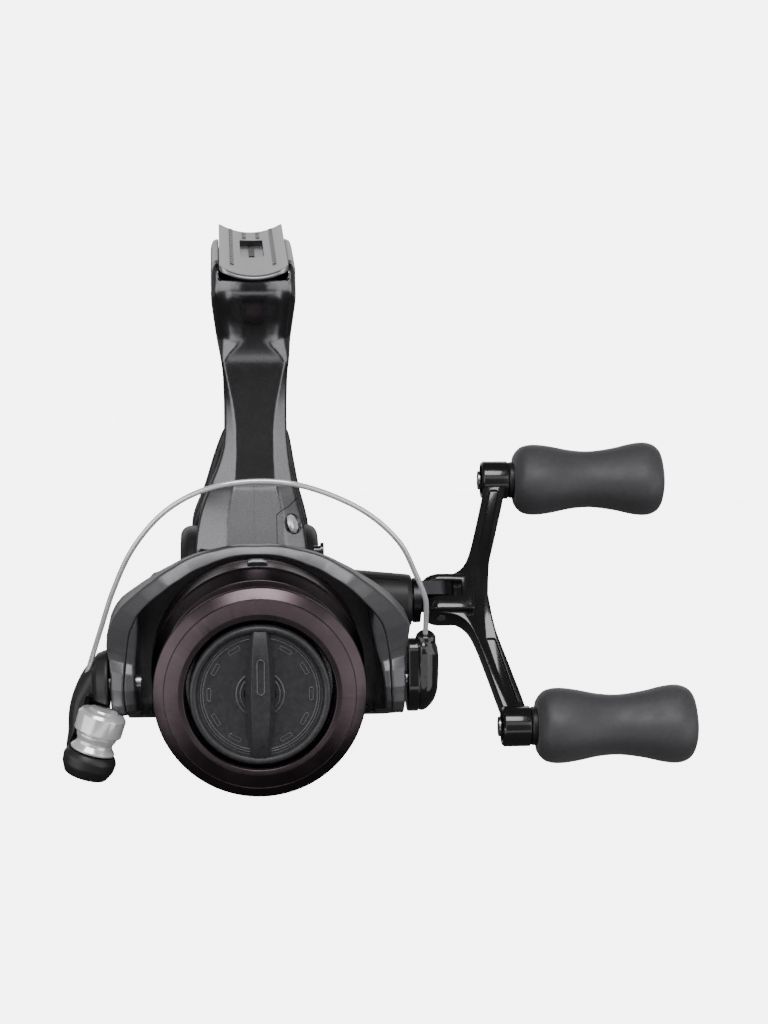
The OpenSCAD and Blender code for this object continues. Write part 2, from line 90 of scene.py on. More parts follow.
# local Z along the part's axis, for lathe work
ALONG_Y = Matrix(((1, 0, 0, 0), (0, 0, 1, 0), (0, -1, 0, 0), (0, 0, 0, 1)))
ALONG_X = Matrix(((0, 0, 1, 0), (0, 1, 0, 0), (-1, 0, 0, 0), (0, 0, 0, 1)))
FOOT = Matrix.Translation(SEAT) @ Matrix.Rotation(FOOT_TILT, 4, "X")
HANDLE_LEAN = math.atan2(ARMS_UP.y, ARMS_UP.z)
CRANK = Matrix.Translation((0, HANDLE.y, HANDLE.z))
ARMS = CRANK @ Matrix.Rotation(-HANDLE_LEAN, 4, "X")
ROLLER_LEAN = math.atan2(ROLLER_AXIS.x, ROLLER_AXIS.z)
ROLLER_FRAME = Matrix.Translation(ROLLER) @ Matrix.Rotation(ROLLER_LEAN, 4, "Y")


def on_x(x, y, z):
    """A lathe frame with its axis along X, starting at (x, y, z)."""
    return Matrix.Translation((x, y, z)) @ ALONG_X


# -------- outlines
def rounded(points, radius, steps=4):
    """A closed 2-D outline with rounded corners, steps + 1 points a corner."""
    pts = [np.array(p, float) for p in points]
    radii = radius if isinstance(radius, (list, tuple)) else [radius] * len(pts)
    out = []
    for i, b in enumerate(pts):
        a, c = pts[i - 1], pts[(i + 1) % len(pts)]
        u, v = a - b, c - b
        lu, lv = np.linalg.norm(u), np.linalg.norm(v)
        u, v = u / lu, v / lv
        half = math.acos(max(-1.0, min(1.0, float(u @ v)))) / 2
        if radii[i] <= 0 or half > math.pi / 2 - 0.02:
            out += [b + (v * 0.001 * k) for k in range(steps + 1)]
            continue
        t = min(radii[i] / math.tan(half), 0.47 * lu, 0.47 * lv)
        r = t * math.tan(half)
        mid = (u + v) / np.linalg.norm(u + v)
        centre = b + mid * (r / math.sin(half))
        p0, p1 = b + u * t - centre, b + v * t - centre
        a0 = math.atan2(p0[1], p0[0])
        turn = math.atan2(p1[1], p1[0]) - a0
        turn = (turn + math.pi) % (2 * math.pi) - math.pi
        for k in range(steps + 1):
            ang = a0 + turn * k / steps
            out.append(centre + r * np.array((math.cos(ang), math.sin(ang))))
    return out


def around(n):
    """Evenly spaced angles of a full turn."""
    return [2 * math.pi * k / n for k in range(n)]


def circle(radius, steps=64, centre=(0, 0)):
    return [(centre[0] + radius * math.cos(t), centre[1] + radius * math.sin(t))
            for t in around(steps)]


def hull(points):
    """Convex outline round a set of 2-D points, anticlockwise."""
    pts = sorted(set((round(float(x), 4), round(float(y), 4)) for x, y in points))

    def half(seq):
        chain = []
        for p in seq:
            while len(chain) > 1 and (
                    (chain[-1][0] - chain[-2][0]) * (p[1] - chain[-2][1])
                    - (chain[-1][1] - chain[-2][1]) * (p[0] - chain[-2][0])) <= 0:
                chain.pop()
            chain.append(p)
        return chain[:-1]
    return half(pts) + half(pts[::-1])


def smooth_step(x, a, b):
    t = min(1.0, max(0.0, (x - a) / (b - a)))
    return t * t * (3 - 2 * t)


def curve_through(knots, steps):
    """Catmull-Rom points through the knots."""
    p = [np.array(k, float) for k in knots]
    out = []
    for i in range(len(p) - 1):
        a, b, c, d = p[max(i - 1, 0)], p[i], p[i + 1], p[min(i + 2, len(p) - 1)]
        for k in range(steps):
            t = k / steps
            out.append(0.5 * (2 * b + (c - a) * t + (2 * a - 5 * b + 4 * c - d) * t ** 2
                              + (3 * b - 3 * c + d - a) * t ** 3))
    return out + [p[-1]]


def table(rows, at):
    """Smooth interpolation in rows of (position, value, value...)."""
    rows = sorted(rows)
    xs = [r[0] for r in rows]
    out = []
    for col in range(1, len(rows[0])):
        ys = [r[col] for r in rows]
        i = int(np.clip(np.searchsorted(xs, at) - 1, 0, len(xs) - 2))
        t = min(1.0, max(0.0, (at - xs[i]) / (xs[i + 1] - xs[i])))

        def slope(k):
            a, b = max(k - 1, 0), min(k + 1, len(xs) - 1)
            return (ys[b] - ys[a]) / (xs[b] - xs[a])
        h = xs[i + 1] - xs[i]
        out.append((2 * t ** 3 - 3 * t ** 2 + 1) * ys[i] + (t ** 3 - 2 * t ** 2 + t) * h * slope(i)
                   + (-2 * t ** 3 + 3 * t ** 2) * ys[i + 1] + (t ** 3 - t ** 2) * h * slope(i + 1))
    return out


# -------- meshes
def in_scene(name, data):
    """A new object with the data, linked to the scene."""
    obj = bpy.data.objects.new(name, data)
    bpy.context.scene.collection.objects.link(obj)
    return obj


def mesh_object(name, verts, faces, place=SHAFT):
    """A new object from vertices in millimetres, placed in the row frame."""
    mesh = bpy.data.meshes.new(name)
    to_row = Matrix.Translation(ORIGIN) @ Matrix.Scale(MM, 4) @ place
    mesh.from_pydata([to_row @ Vector(v) for v in verts], [], faces)
    mesh.validate()
    mesh.update()
    return in_scene(name, mesh)


def skin(rings, loop=False):
    """Faces over rings of equal length: a closed loop, or ends that are capped."""
    n, m = len(rings[0]), len(rings)
    verts = [tuple(v) for ring in rings for v in ring]
    faces = []
    for i in range(m if loop else m - 1):
        j = (i + 1) % m
        for k in range(n):
            q = (k + 1) % n
            faces.append((i * n + k, i * n + q, j * n + q, j * n + k))
    if not loop:
        faces.append(tuple(range(n))[::-1])
        faces.append(tuple((m - 1) * n + k for k in range(n)))
    return verts, faces


def lathe(name, outline, place, turns=160):
    """Revolves a closed (radius, height) outline about the place's Z axis."""
    rings = [[(r * math.cos(t), r * math.sin(t), z) for r, z in outline] for t in around(turns)]
    return weld(mesh_object(name, *skin(rings, loop=True), place))


def prism(name, outline, low, high, place=SHAFT, plane="YZ"):
    """An outline given thickness square to its plane."""
    def spot(p, d):
        return {"YZ": (d, p[0], p[1]), "XZ": (p[0], d, p[1]), "XY": (p[0], p[1], d)}[plane]
    rings = [[spot(p, low) for p in outline], [spot(p, high) for p in outline]]
    return mesh_object(name, *skin(rings), place)


def sweep(name, path, radius, sides):
    """A round tube along a path."""
    p = [Vector(q) for q in path]
    rings = []
    up = Vector((0, 0.42, 0.9))
    for i, q in enumerate(p):
        ahead = (p[min(i + 1, len(p) - 1)] - p[max(i - 1, 0)]).normalized()
        side = ahead.cross(up).normalized()
        lift = side.cross(ahead).normalized()
        rings.append([q + radius * (math.cos(t) * side + math.sin(t) * lift)
                      for t in around(sides)])
    return mesh_object(name, *skin(rings))


def weld(obj):
    """Joins vertices that meet and turns every face outwards."""
    bm = bmesh.new()
    bm.from_mesh(obj.data)
    bmesh.ops.remove_doubles(bm, verts=bm.verts, dist=WELD_GAP)
    bmesh.ops.recalc_face_normals(bm, faces=bm.faces)
    bm.to_mesh(obj.data)
    bm.free()
    return obj


def bake_modifiers(obj):
    depsgraph = bpy.context.evaluated_depsgraph_get()
    mesh = bpy.data.meshes.new_from_object(obj.evaluated_get(depsgraph))
    obj.modifiers.clear()
    old = obj.data
    obj.data = mesh
    bpy.data.meshes.remove(old)


def soften(obj, width, angle=28):
    """Rounds an object's sharp edges and shades it smooth."""
    bevel = weld(obj).modifiers.new("edges", "BEVEL")
    bevel.width = width * MM
    bevel.segments = 3
    bevel.limit_method = "ANGLE"
    bevel.angle_limit = math.radians(angle)
    bake_modifiers(obj)
    return smooth(obj)


def smooth(obj, angle=50):
    obj.data.shade_smooth()
    obj.data.set_sharp_from_angle(angle=math.radians(angle))
    return obj


def join(name, objects):
    """Several objects' meshes as one object."""
    bm = bmesh.new()
    for obj in objects:
        bm.from_mesh(obj.data)
    mesh = bpy.data.meshes.new(name)
    bm.to_mesh(mesh)
    bm.free()
    for obj in objects:
        bpy.data.objects.remove(obj)
    return in_scene(name, mesh)


def cast(name, objects, grain):
    """Melts solids into one casting with small fillets where they meet."""
    whole = join(name, objects)
    remesh = whole.modifiers.new("melt", "REMESH")
    remesh.mode = "VOXEL"
    remesh.voxel_size = grain * MM
    relax = whole.modifiers.new("relax", "SMOOTH")
    relax.iterations = 3
    relax.factor = 0.5
    bake_modifiers(whole)
    return smooth(whole, 80)


def cut(obj, cutter, operation="DIFFERENCE"):
    """Cuts an object with a solid, which is used up."""
    weld(cutter)
    boolean = obj.modifiers.new("cut", "BOOLEAN")
    boolean.operation = operation
    boolean.object = cutter
    boolean.solver = "MANIFOLD"
    bake_modifiers(obj)
    bpy.data.objects.remove(cutter)
    return obj


def copy_of(obj, name):
    twin = obj.copy()
    twin.data = obj.data.copy()
    twin.name = name
    bpy.context.scene.collection.objects.link(twin)
    return twin


def turning(name, outline, radii, place, turns=96, steps=4, angle=28):
    """A smooth lathe piece from an outline with rounded corners."""
    return smooth(lathe(name, rounded(outline, radii, steps), place, turns), angle)


# -------- materials
def new_material(name):
    mat = bpy.data.materials.new(name)
    mat.use_nodes = True
    nodes, links = mat.node_tree.nodes, mat.node_tree.links
    return mat, nodes, links, nodes["Principled BSDF"]


def noise(nodes, links, scale, detail, vector):
    tex = nodes.new("ShaderNodeTexNoise")
    tex.inputs["Scale"].default_value = scale
    tex.inputs["Detail"].default_value = detail
    links.new(vector, tex.inputs["Vector"])
    return tex.outputs["Fac"]


def spread(nodes, links, value, low, high, to_low, to_high):
    node = nodes.new("ShaderNodeMapRange")
    for key, v in zip(("From Min", "From Max", "To Min", "To Max"),
                      (low, high, to_low, to_high)):
        node.inputs[key].default_value = v
    links.new(value, node.inputs["Value"])
    return node.outputs["Result"]


def vector_math(nodes, links, operation, vector, value=(0, 0, 0)):
    node = nodes.new("ShaderNodeVectorMath")
    node.operation = operation
    node.inputs[1].default_value = value
    links.new(vector, node.inputs[0])
    return node.outputs


def two_tone(nodes, links, value, dark, light):
    ramp = nodes.new("ShaderNodeValToRGB")
    ramp.color_ramp.elements[0].position = 0.3
    ramp.color_ramp.elements[1].position = 0.7
    ramp.color_ramp.elements[0].color = (*dark, 1)
    ramp.color_ramp.elements[1].color = (*light, 1)
    links.new(value, ramp.inputs["Fac"])
    return ramp.outputs["Color"]


def finish(name, colour, roughness, metallic=0.0, coat=0.0, mottle=0.12,
           mottle_scale=260, wear=0.06, grain=4200, relief=0.006, sheen=0.0,
           coat_rough=0.15, turned=None):
    """A procedural surface: mottled colour, uneven gloss and a fine relief.

    turned is the (x, z) in metres of a lathe axis along Y, for turning marks."""
    mat, nodes, links, bsdf = new_material(name)
    coords = nodes.new("ShaderNodeTexCoord").outputs["Object"]
    broad = noise(nodes, links, mottle_scale, 4, coords)
    dark = tuple(c * (1 - mottle) for c in colour)
    light = tuple(min(1, c * (1 + mottle)) for c in colour)
    links.new(two_tone(nodes, links, broad, dark, light), bsdf.inputs["Base Color"])
    patch = noise(nodes, links, mottle_scale * 0.4, 3, coords)
    links.new(spread(nodes, links, patch, 0.3, 0.7, roughness - wear, roughness + wear),
              bsdf.inputs["Roughness"])
    if turned:
        shift = vector_math(nodes, links, "SUBTRACT", coords, (turned[0], 0, turned[1]))
        flat = vector_math(nodes, links, "MULTIPLY", shift["Vector"], (1, 0, 1))
        radius = vector_math(nodes, links, "LENGTH", flat["Vector"])
        split = nodes.new("ShaderNodeSeparateXYZ")
        links.new(coords, split.inputs[0])
        pair = nodes.new("ShaderNodeCombineXYZ")
        links.new(radius["Value"], pair.inputs[0])
        links.new(split.outputs["Y"], pair.inputs[1])
        fine = noise(nodes, links, grain, 2, pair.outputs[0])
    else:
        fine = noise(nodes, links, grain, 3, coords)
    bump = nodes.new("ShaderNodeBump")
    bump.inputs["Strength"].default_value = 0.6
    bump.inputs["Distance"].default_value = relief * MM
    links.new(fine, bump.inputs["Height"])
    links.new(bump.outputs["Normal"], bsdf.inputs["Normal"])
    for key, v in (("Metallic", metallic), ("Coat Weight", coat),
                   ("Coat Roughness", coat_rough), ("Sheen Weight", sheen)):
        bsdf.inputs[key].default_value = v
    return mat


AXIS = (ORIGIN.x, ORIGIN.z)
FLAKE = {"mottle_scale": 2600, "wear": 0.02, "grain": 5200}
PAINT = finish("charcoal_paint", (0.19, 0.186, 0.198), 0.22, metallic=1.0, coat=0.2,
               coat_rough=0.2, mottle=0.1, relief=0.0012, **FLAKE)
ROTOR_PAINT = finish("rotor_paint", (0.125, 0.122, 0.132), 0.38, metallic=0.55, coat=0.15,
                     coat_rough=0.3, mottle=0.08, relief=0.0012, **FLAKE)
FOOT_PAINT = finish("foot_paint", (0.56, 0.55, 0.58), 0.36, metallic=0.9, coat=0.2,
                    coat_rough=0.25, mottle=0.08, relief=0.003, **FLAKE)
BLACK = finish("black_plastic", (0.015, 0.015, 0.016), 0.4, grain=3800, relief=0.01)
GLOSS = finish("gloss_black", (0.012, 0.012, 0.013), 0.16, coat=0.7, coat_rough=0.06,
               mottle_scale=180, grain=900, relief=0.004, wear=0.04)
ANODISED = finish("aubergine_anodised", (0.086, 0.066, 0.072), 0.3, metallic=1.0,
                  mottle=0.08, grain=2600, relief=0.006, turned=AXIS)
# Painted shade: the arbor is the spool's own aubergine metal, coloured near-black for the shade the lip throws
# into the line groove.
ARBOR_SHADE = finish("arbor_painted_shade", (0.02, 0.015, 0.017), 0.4, metallic=0.6,
               mottle=0.08, grain=2600, relief=0.006, turned=AXIS)
CHROME = finish("chrome_plate", (0.9, 0.9, 0.91), 0.18, metallic=0.5, mottle=0.04,
                wear=0.04, grain=700, relief=0.003)
STEEL = finish("steel", (0.48, 0.48, 0.49), 0.28, metallic=1.0, mottle=0.08,
               grain=3000, relief=0.004)
DARK_STEEL = finish("blued_steel", (0.05, 0.05, 0.055), 0.35, metallic=1.0, mottle=0.12,
                    grain=3000, relief=0.004)
BRASS = finish("brass", (0.52, 0.36, 0.13), 0.3, metallic=1.0, mottle=0.1,
               grain=3000, relief=0.004)
RUBBER = finish("soft_grip", (0.052, 0.052, 0.057), 0.5, mottle=0.08, mottle_scale=900,
                grain=5200, relief=0.012, sheen=0.2)
DIAL = finish("dial_plastic", (0.032, 0.031, 0.036), 0.42, mottle=0.25,
              mottle_scale=900, grain=3600, relief=0.02)
BEAD = finish("dial_bead", (0.12, 0.115, 0.13), 0.28, metallic=0.5, coat=0.4, mottle=0.1,
              mottle_scale=600, grain=2600, relief=0.004)
ACETAL = finish("acetal", (0.62, 0.62, 0.58), 0.45, mottle=0.05, grain=2400, relief=0.005)
CARBON = finish("drag_carbon", (0.03, 0.03, 0.032), 0.6, mottle=0.3, mottle_scale=2200,
                grain=2200, relief=0.02)
LOOK = {"housing": PAINT, "foot_and_cover": PAINT, "black_plastic": BLACK,
        "gloss_black": GLOSS, "aubergine": ANODISED, "chrome": CHROME, "steel": STEEL,
        "brass": BRASS, "rubber": RUBBER, "knob_face": DIAL, "white_plastic": ACETAL,
        "carbon": CARBON}


def piece(obj, body, slot, replaces=(), look=None):
    """Gives a piece its material, its body and the CAD nodes it stands for."""
    obj.data.materials.clear()
    obj.data.materials.append(look or LOOK[slot])
    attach(obj, body)
    if replaces:
        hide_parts(*replaces)
    return obj


for part in frame["record"]["subparts"]:
    node = frame["nodes"][part["node"]]
    node.data.materials.clear()
    node.data.materials.append(LOOK[part["material_slot"]])
    smooth(node, 35)
frame["nodes"]["drive_shaft"].data.materials[0] = DARK_STEEL

# -------- foot
FOOT_LONG = 31.0  # half length
FOOT_HALF = 8.15  # half width
FOOT_CORNER = 2.4  # radius of the plate's corners in plan
SADDLE_R = 15.0
WINDOW = (-6.5, 18.5)  # front and rear end of the foot's window
WINDOW_HALF = 2.9


def saddle(x):
    return SADDLE_R - math.sqrt(SADDLE_R ** 2 - x * x)


def foot_plate():
    """The curved plate of the foot: thin at its ends, thick over the stem."""
    rings = []
    ends = [0.0, 0.12, 0.4, 0.9, 1.6, FOOT_CORNER]
    spots = ([-FOOT_LONG + e for e in ends] + list(np.arange(-28, 28.1, 1.0))
             + [FOOT_LONG - e for e in ends[::-1]])
    for y in spots:
        inset = FOOT_LONG - abs(y)
        cut_back = FOOT_CORNER - min(inset, FOOT_CORNER)
        half = FOOT_HALF - FOOT_CORNER + math.sqrt(FOOT_CORNER ** 2 - cut_back ** 2)
        nose = 0.5 * (1 - smooth_step(inset, -0.3, 0.7))
        thick = 1.15 + 2.8 * smooth_step(inset, 2, 22)
        top = [(x, y, saddle(x) - nose) for x in np.linspace(-half, half, 25)]
        under = [(x, y, max(saddle(x) * 0.92 - thick + nose, -4.2))
                 for x in np.linspace(half, -half, 25)]
        rings.append(top + under)
    obj = weld(mesh_object("foot", *skin(rings), FOOT))
    pocket = prism("pocket", [(-WINDOW_HALF, -1.6), (WINDOW_HALF, -1.6),
                              (WINDOW_HALF, 4), (-WINDOW_HALF, 4)],
                   WINDOW[0], WINDOW[1], FOOT, plane="XZ")
    cut(obj, pocket)
    return soften(obj, 0.25, angle=35)


def foot_ribs_painted_shade():
    """Rows of small grip ribs in the saddle, in the darker stem paint as painted shade of recessed ticks."""
    bits = []
    rows = [(side * 5.1, y) for side in (-1, 1) for y in np.arange(-20.4, 29, 2.3)]
    rows += [(side * 1.74, y) for side in (-1, 1) for y in np.arange(20.2, 29, 2.3)]
    for x, y in rows:
        z = saddle(x)
        lean = math.copysign(math.asin(abs(x) / SADDLE_R), -x)
        place = FOOT @ Matrix.Translation((x, y, z)) @ Matrix.Rotation(lean, 4, "Y")
        bits.append(prism("rib", rounded([(-0.5, -0.5), (0.5, -0.5), (0.5, 0.28), (-0.5, 0.28)],
                                         [0, 0, 0.14, 0.14], 2), 0, 1.25, place, plane="XZ"))
    return smooth(join("foot_ribs_painted_shade", bits), 30)


def window_painted_shade():
    """Black blocks inside the foot's window that paint shade on its end wall and in its cross slot."""
    half = WINDOW_HALF - 0.05
    front, rear = WINDOW
    wall = [(-half, -1.6), (half, -1.6), (half, -0.15), (-half, -0.15)]
    sill = [(-half, -1.65), (half, -1.65), (half, -1.5), (-half, -1.5)]
    post = [(-0.7, -1.65), (0.7, -1.65), (0.7, -1.2), (-0.7, -1.2)]
    bits = [prism("wall", wall, rear - 0.25, rear - 0.02, FOOT, plane="XZ"),
            prism("sill", sill, front + 0.1, front + 8.5, FOOT, plane="XZ"),
            prism("post", post, front + 8.5, rear - 0.1, FOOT, plane="XZ")]
    return smooth(join("foot_window_shade_blocks", bits), 30)


piece(foot_plate(), "body", "foot_and_cover", ["body_housing"], look=FOOT_PAINT)
# The ribs are coloured darker than the plate: painted shade of recessed ticks.
piece(foot_ribs_painted_shade(), "body", "foot_and_cover", look=PAINT)
# Painted shade: black blocks inside the foot's window.
piece(window_painted_shade(), "body", "black_plastic")

# -------- stem and case
# Height, half width, half width of the flat front, front, rear
STEM = [(94.0, 10.1, 8.2, 46.0, 90.0), (90.0, 10.2, 8.2, 46.2, 89.0),
        (87.0, 10.25, 8.2, 46.9, 88.0), (84.0, 10.1, 8.2, 48.0, 86.5),
        (78.5, 9.5, 8.1, 50.3, 81.0), (73.5, 8.8, 8.0, 52.0, 77.0),
        (70.0, 8.3, 7.6, 52.9, 75.5), (66.8, 7.9, 6.85, 53.2, 74.5),
        (63.2, 7.75, 6.1, 53.3, 73.5), (58.8, 7.65, 5.25, 53.2, 73.0),
        (52.6, 7.7, 4.65, 53.0, 73.0), (49.0, 7.95, 4.65, 52.8, 74.0),
        (45.3, 8.6, 4.72, 52.6, 75.5), (42.5, 9.3, 4.85, 52.4, 77.5),
        (39.9, 10.1, 5.2, 52.1, 79.5), (38.4, 10.5, 5.5, 51.5, 80.5),
        (32.4, 12.35, 6.6, 49.3, 84.0), (27.8, 13.25, 7.1, 47.7, 86.0),
        (22.0, 13.8, 7.4, 46.0, 86.0), (12.0, 13.8, 7.6, 44.2, 86.0)]
BODY_LEFT, BODY_RIGHT = -14.6, 12.6  # outside of the gear case's grey core
BODY_MID = (BODY_LEFT + BODY_RIGHT) / 2
CASE_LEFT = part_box("body_housing")[0].x / MM
CASE_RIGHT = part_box("side_cover")[1].x / MM
TAIL = (90.0, 2.0, 11.0)  # y, z and radius of the case's rear end
DRUM_R = 19.6  # radius of the case round the handle's gear
OSCILLATOR_R = 15.8  # and round the oscillation gear
CASE_FRONT = 43.6
OSCILLATOR = joint_place("oscillation_spin")


def case_outline(inset=0.0, front=True):
    pts = circle(DRUM_R - inset, 96, (HANDLE.y, HANDLE.z))
    pts += circle(OSCILLATOR_R - inset, 72, (OSCILLATOR.y, OSCILLATOR.z))
    pts += circle(TAIL[2] - inset, 64, (TAIL[0], TAIL[1]))
    if front:
        pts += [(CASE_FRONT + inset, -6 + inset), (CASE_FRONT + inset, 24 - inset)]
    return hull(pts)


def stem():
    """The faceted stem: crisp facets low down, a rounded block under the foot."""
    rings = []
    for z in np.linspace(12, 92.9, 110):
        half, flat, front, rear = table(STEM, z)
        mid = 0.3 + (BODY_MID - 0.3) * smooth_step(50 - z, 0, 17)
        soft = smooth_step(z, 69.0, 76)
        lean = 0.62 * (half - flat) + 0.5
        right, left = [], []
        for side, points in ((1, right), (-1, left)):
            a = np.array((0.05 + side * flat, front))
            b = np.array((mid + side * half, front + lean))
            crisp = [a, a + (b - a) / 3, a + (b - a) * 2 / 3, b]
            domed = [(0.26 * half, front), (0.6 * half, front + 0.9), (0.87 * half, front + 2.6),
                     (half, front + 5.4)]
            points.extend((1 - soft) * c + soft * np.array((side * d[0], d[1]))
                          for c, d in zip(crisp, domed))
        ring = rounded(left[:1] + right + [(mid + half * 0.96, rear - 3.5),
                       (mid + half * 0.55, rear), (mid - half * 0.55, rear),
                       (mid - half * 0.96, rear - 3.5)] + left[:0:-1],
                       [0.3 + 6 * soft, 0.3 + 6 * soft, 6, 6, 1.2 + 4 * soft, 3.5, 5, 5, 3.5,
                        1.2 + 4 * soft, 6, 6], 5)
        lift = math.tan(FOOT_TILT) * smooth_step(z, 78, 93)
        rings.append([(x, y, z + lift * (y - SEAT.y)) for x, y in ring])
    return mesh_object("stem", *skin(rings))


def shoulders():
    """The two rails that rise from the stem's head to hold the plate's edges."""
    rails = []
    inner = FOOT_HALF + 0.05
    for side in (-1, 1):
        rings = []
        for y, rise in ((-23.8, -2.6), (-23.4, -1.0), (-22.4, 0.4), (-20.8, 1.2), (-18, 1.65),
                        (8, 1.7), (12, 1.5), (14.5, 0.6), (16, -0.6)):
            half = 10.2 - 1.0 * smooth_step(-y, 19, 24.5)
            edge = [(half, -6.5), (half, rise - 2.3), (half - 0.35, rise - 1.0),
                    (half - 0.8, rise - 0.25), (inner, rise), (inner, -3.2), (6.5, -4.5),
                    (6.5, -6.5)]
            rings.append([(side * x, y, z) for x, z in edge])
        rails.append(mesh_object("rail", *skin(rings), FOOT))
    return rails


def grey_body():
    """Stem and gear case as one casting, before it is parted."""
    core = prism("core", case_outline(1.2), BODY_LEFT + 1.0, BODY_RIGHT - 1.0)
    wide = prism("wide", case_outline(3.0), BODY_LEFT, BODY_RIGHT)
    nose = lathe("nose", [(5, 40.9), (10.3, 40.9), (10.3, 60), (5, 60)], ALONG_Y, 96)
    boss_end = (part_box("reverse_lever")[0].y - ORIGIN.y) / MM + 3.2
    switch = joint_place("reverse_switch_turn")
    boss = lathe("boss", [(1.6, 76), (4.5, 76), (4.5, boss_end), (1.6, boss_end)],
                 Matrix.Translation((switch.x, 0, switch.z)) @ ALONG_Y, 48)
    return cast("body_shell", [stem(), *shoulders(), core, wide, nose, boss], 0.38)


SPLIT_X = 5.25  # where the side cover meets the case
SEAM = 0.14
COVER_SCREW = (Matrix.Translation((9.2, 50.3, 30.4))
               @ Vector((0.91, -0.30, 0.30)).to_track_quat("Z", "Y").to_matrix().to_4x4())

whole = grey_body()
cover_zone = [(SPLIT_X, -40), (SPLIT_X, 32.7), (SPLIT_X + 1.15, 33.6), (SPLIT_X + 2.85, 34.3),
              (SPLIT_X + 5.25, 36.2), (40, 60), (40, -40)]
zone = prism("zone", cover_zone, 36, 120, plane="XZ")
zone_wide = prism("zone_wide", [(x - SEAM, z + SEAM * 0.8) for x, z in cover_zone],
                  36, 120, plane="XZ")
cover = copy_of(whole, "side_cover_shell")
cut(cover, zone, "INTERSECT")
cut(cover, lathe("recess", [(0.01, -0.7), (2.6, -0.7), (2.6, 9), (0.01, 9)], COVER_SCREW, 64))
cut(whole, zone_wide)
cut(whole, prism("mould_seam", [(46, 26), (50.5, 39.4), (52.3, 39.4), (49.55, 32.4), (47.95, 27.8),
                                (47.35, 26)], -0.36, -0.12))
piece(smooth(whole, 35), "body", "housing")
piece(smooth(cover, 35), "body", "foot_and_cover", ["side_cover"])


def side_plate(name, inner, outer, inset):
    """A black cheek of the gear case with a broad rounded rim."""
    outline = case_outline(inset, front=False)
    n = len(outline)
    rings = []
    centre = np.mean(outline, axis=0)
    round_r = min(2.6, abs(outer - inner))
    turns = [(outer - math.copysign(round_r * (1 - math.sin(a)), outer - inner),
              round_r * (1 - math.cos(a))) for a in np.linspace(0, math.pi / 2, 8)]
    for x, shrink in [(inner, 0.0)] + turns:
        ring = []
        for k in range(n):
            a, b = np.array(outline[k - 1]), np.array(outline[(k + 1) % n])
            d = (b - a) / np.linalg.norm(b - a)
            p = np.array(outline[k]) + np.array((-d[1], d[0])) * shrink
            ring.append((x, p[0], p[1]))
        rings.append(ring)
    rings.append([(outer, *(centre + 0.55 * (np.array(p[1:]) - centre))) for p in rings[-1]])
    return smooth(weld(mesh_object(name, *skin(rings))), 40)


piece(side_plate("left_cheek", BODY_LEFT + 1, CASE_LEFT, 0.3), "body", "black_plastic")
piece(side_plate("right_cheek", BODY_RIGHT - 1, CASE_RIGHT, 0.3), "body", "black_plastic")


def rear_guard():
    """The black guard that wraps the back of the stem and the case."""
    rings = []
    # height, left and right half width, front edge, rear face
    rows = [(52.3, 6.4, 7.2, 71.0, 75.0), (51.4, 7.4, 8.3, 70.6, 76.5),
            (49.6, 8.2, 9.0, 70.2, 78.0), (44.0, 10.1, 10.0, 70.0, 82.0),
            (36.0, 12.4, 11.5, 71.0, 88.0), (27.5, 15.4, 13.6, 72.0, 94.0),
            (18.0, 16.0, 14.0, 74.0, 100.0), (8.0, 15.8, 13.8, 76.0, 103.3),
            (0.0, 15.2, 13.2, 78.0, 103.2), (-5.0, 14.0, 12.0, 80.0, 101.8)]
    for z in np.linspace(52.3, -5, 60):
        left, right, front, rear = table(rows, z)
        back = rear - min(4.0, 0.6 * (rear - front))
        ring = rounded([(-left, front), (right, front), (right, back),
                        (right * 0.5, rear), (-left * 0.5, rear), (-left, back)],
                       [1, 1, 4, 6, 6, 4], 4)
        rings.append([(x, y, z) for x, y in ring])
    return cast("rear_guard_shell", [mesh_object("guard", *skin(rings))], 0.5)


piece(rear_guard(), "body", "black_plastic", ["rear_guard"])


def boss():
    """The tapered housing of the crank shaft on the handle side."""
    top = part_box("handle_boss")[1].x / MM
    prof = rounded([(4, 11.6), (8.9, 11.6), (8.9, 17.2), (8.5, 18.2), (6.6, top - 1.2),
                    (6.3, top), (4, top)], [0.1, 0.3, 0.7, 0.7, 0.6, 0.6, 0.3], 4)
    tube = lathe("boss", prof, CRANK @ ALONG_X, 128)
    rib = prism("rib", rounded([(16, -0.5), (16, 8.9), (top - 3, 7.1), (top - 3, -0.5)],
                               0.3, 2), -0.55, 0.55,
                CRANK @ Matrix.Rotation(math.radians(28), 4, "X"), plane="XZ")
    return smooth(join("handle_boss_shell", [tube, rib]), 35)


def axle_cap():
    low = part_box("axle_cap")[0].x / MM
    prof = rounded([(0.01, low), (6.4, low), (7.6, low + 1.1), (9, low + 5.2), (9, low + 8.6),
                    (0.01, low + 8.6)], [0, 0.8, 1.2, 1.4, 0.3, 0], 4)
    ring = rounded([(3.4, low - 0.01), (4.4, low - 0.35), (5.4, low - 0.01),
                    (5.4, low + 1), (3.4, low + 1)], 0.2, 2)
    cap = lathe("cap", prof, CRANK @ ALONG_X, 96)
    return smooth(join("axle_cap_shell", [cap, lathe("r", ring, CRANK @ ALONG_X)]), 35)


piece(boss(), "body", "black_plastic", ["handle_boss"])
piece(axle_cap(), "body", "black_plastic", ["axle_cap"])


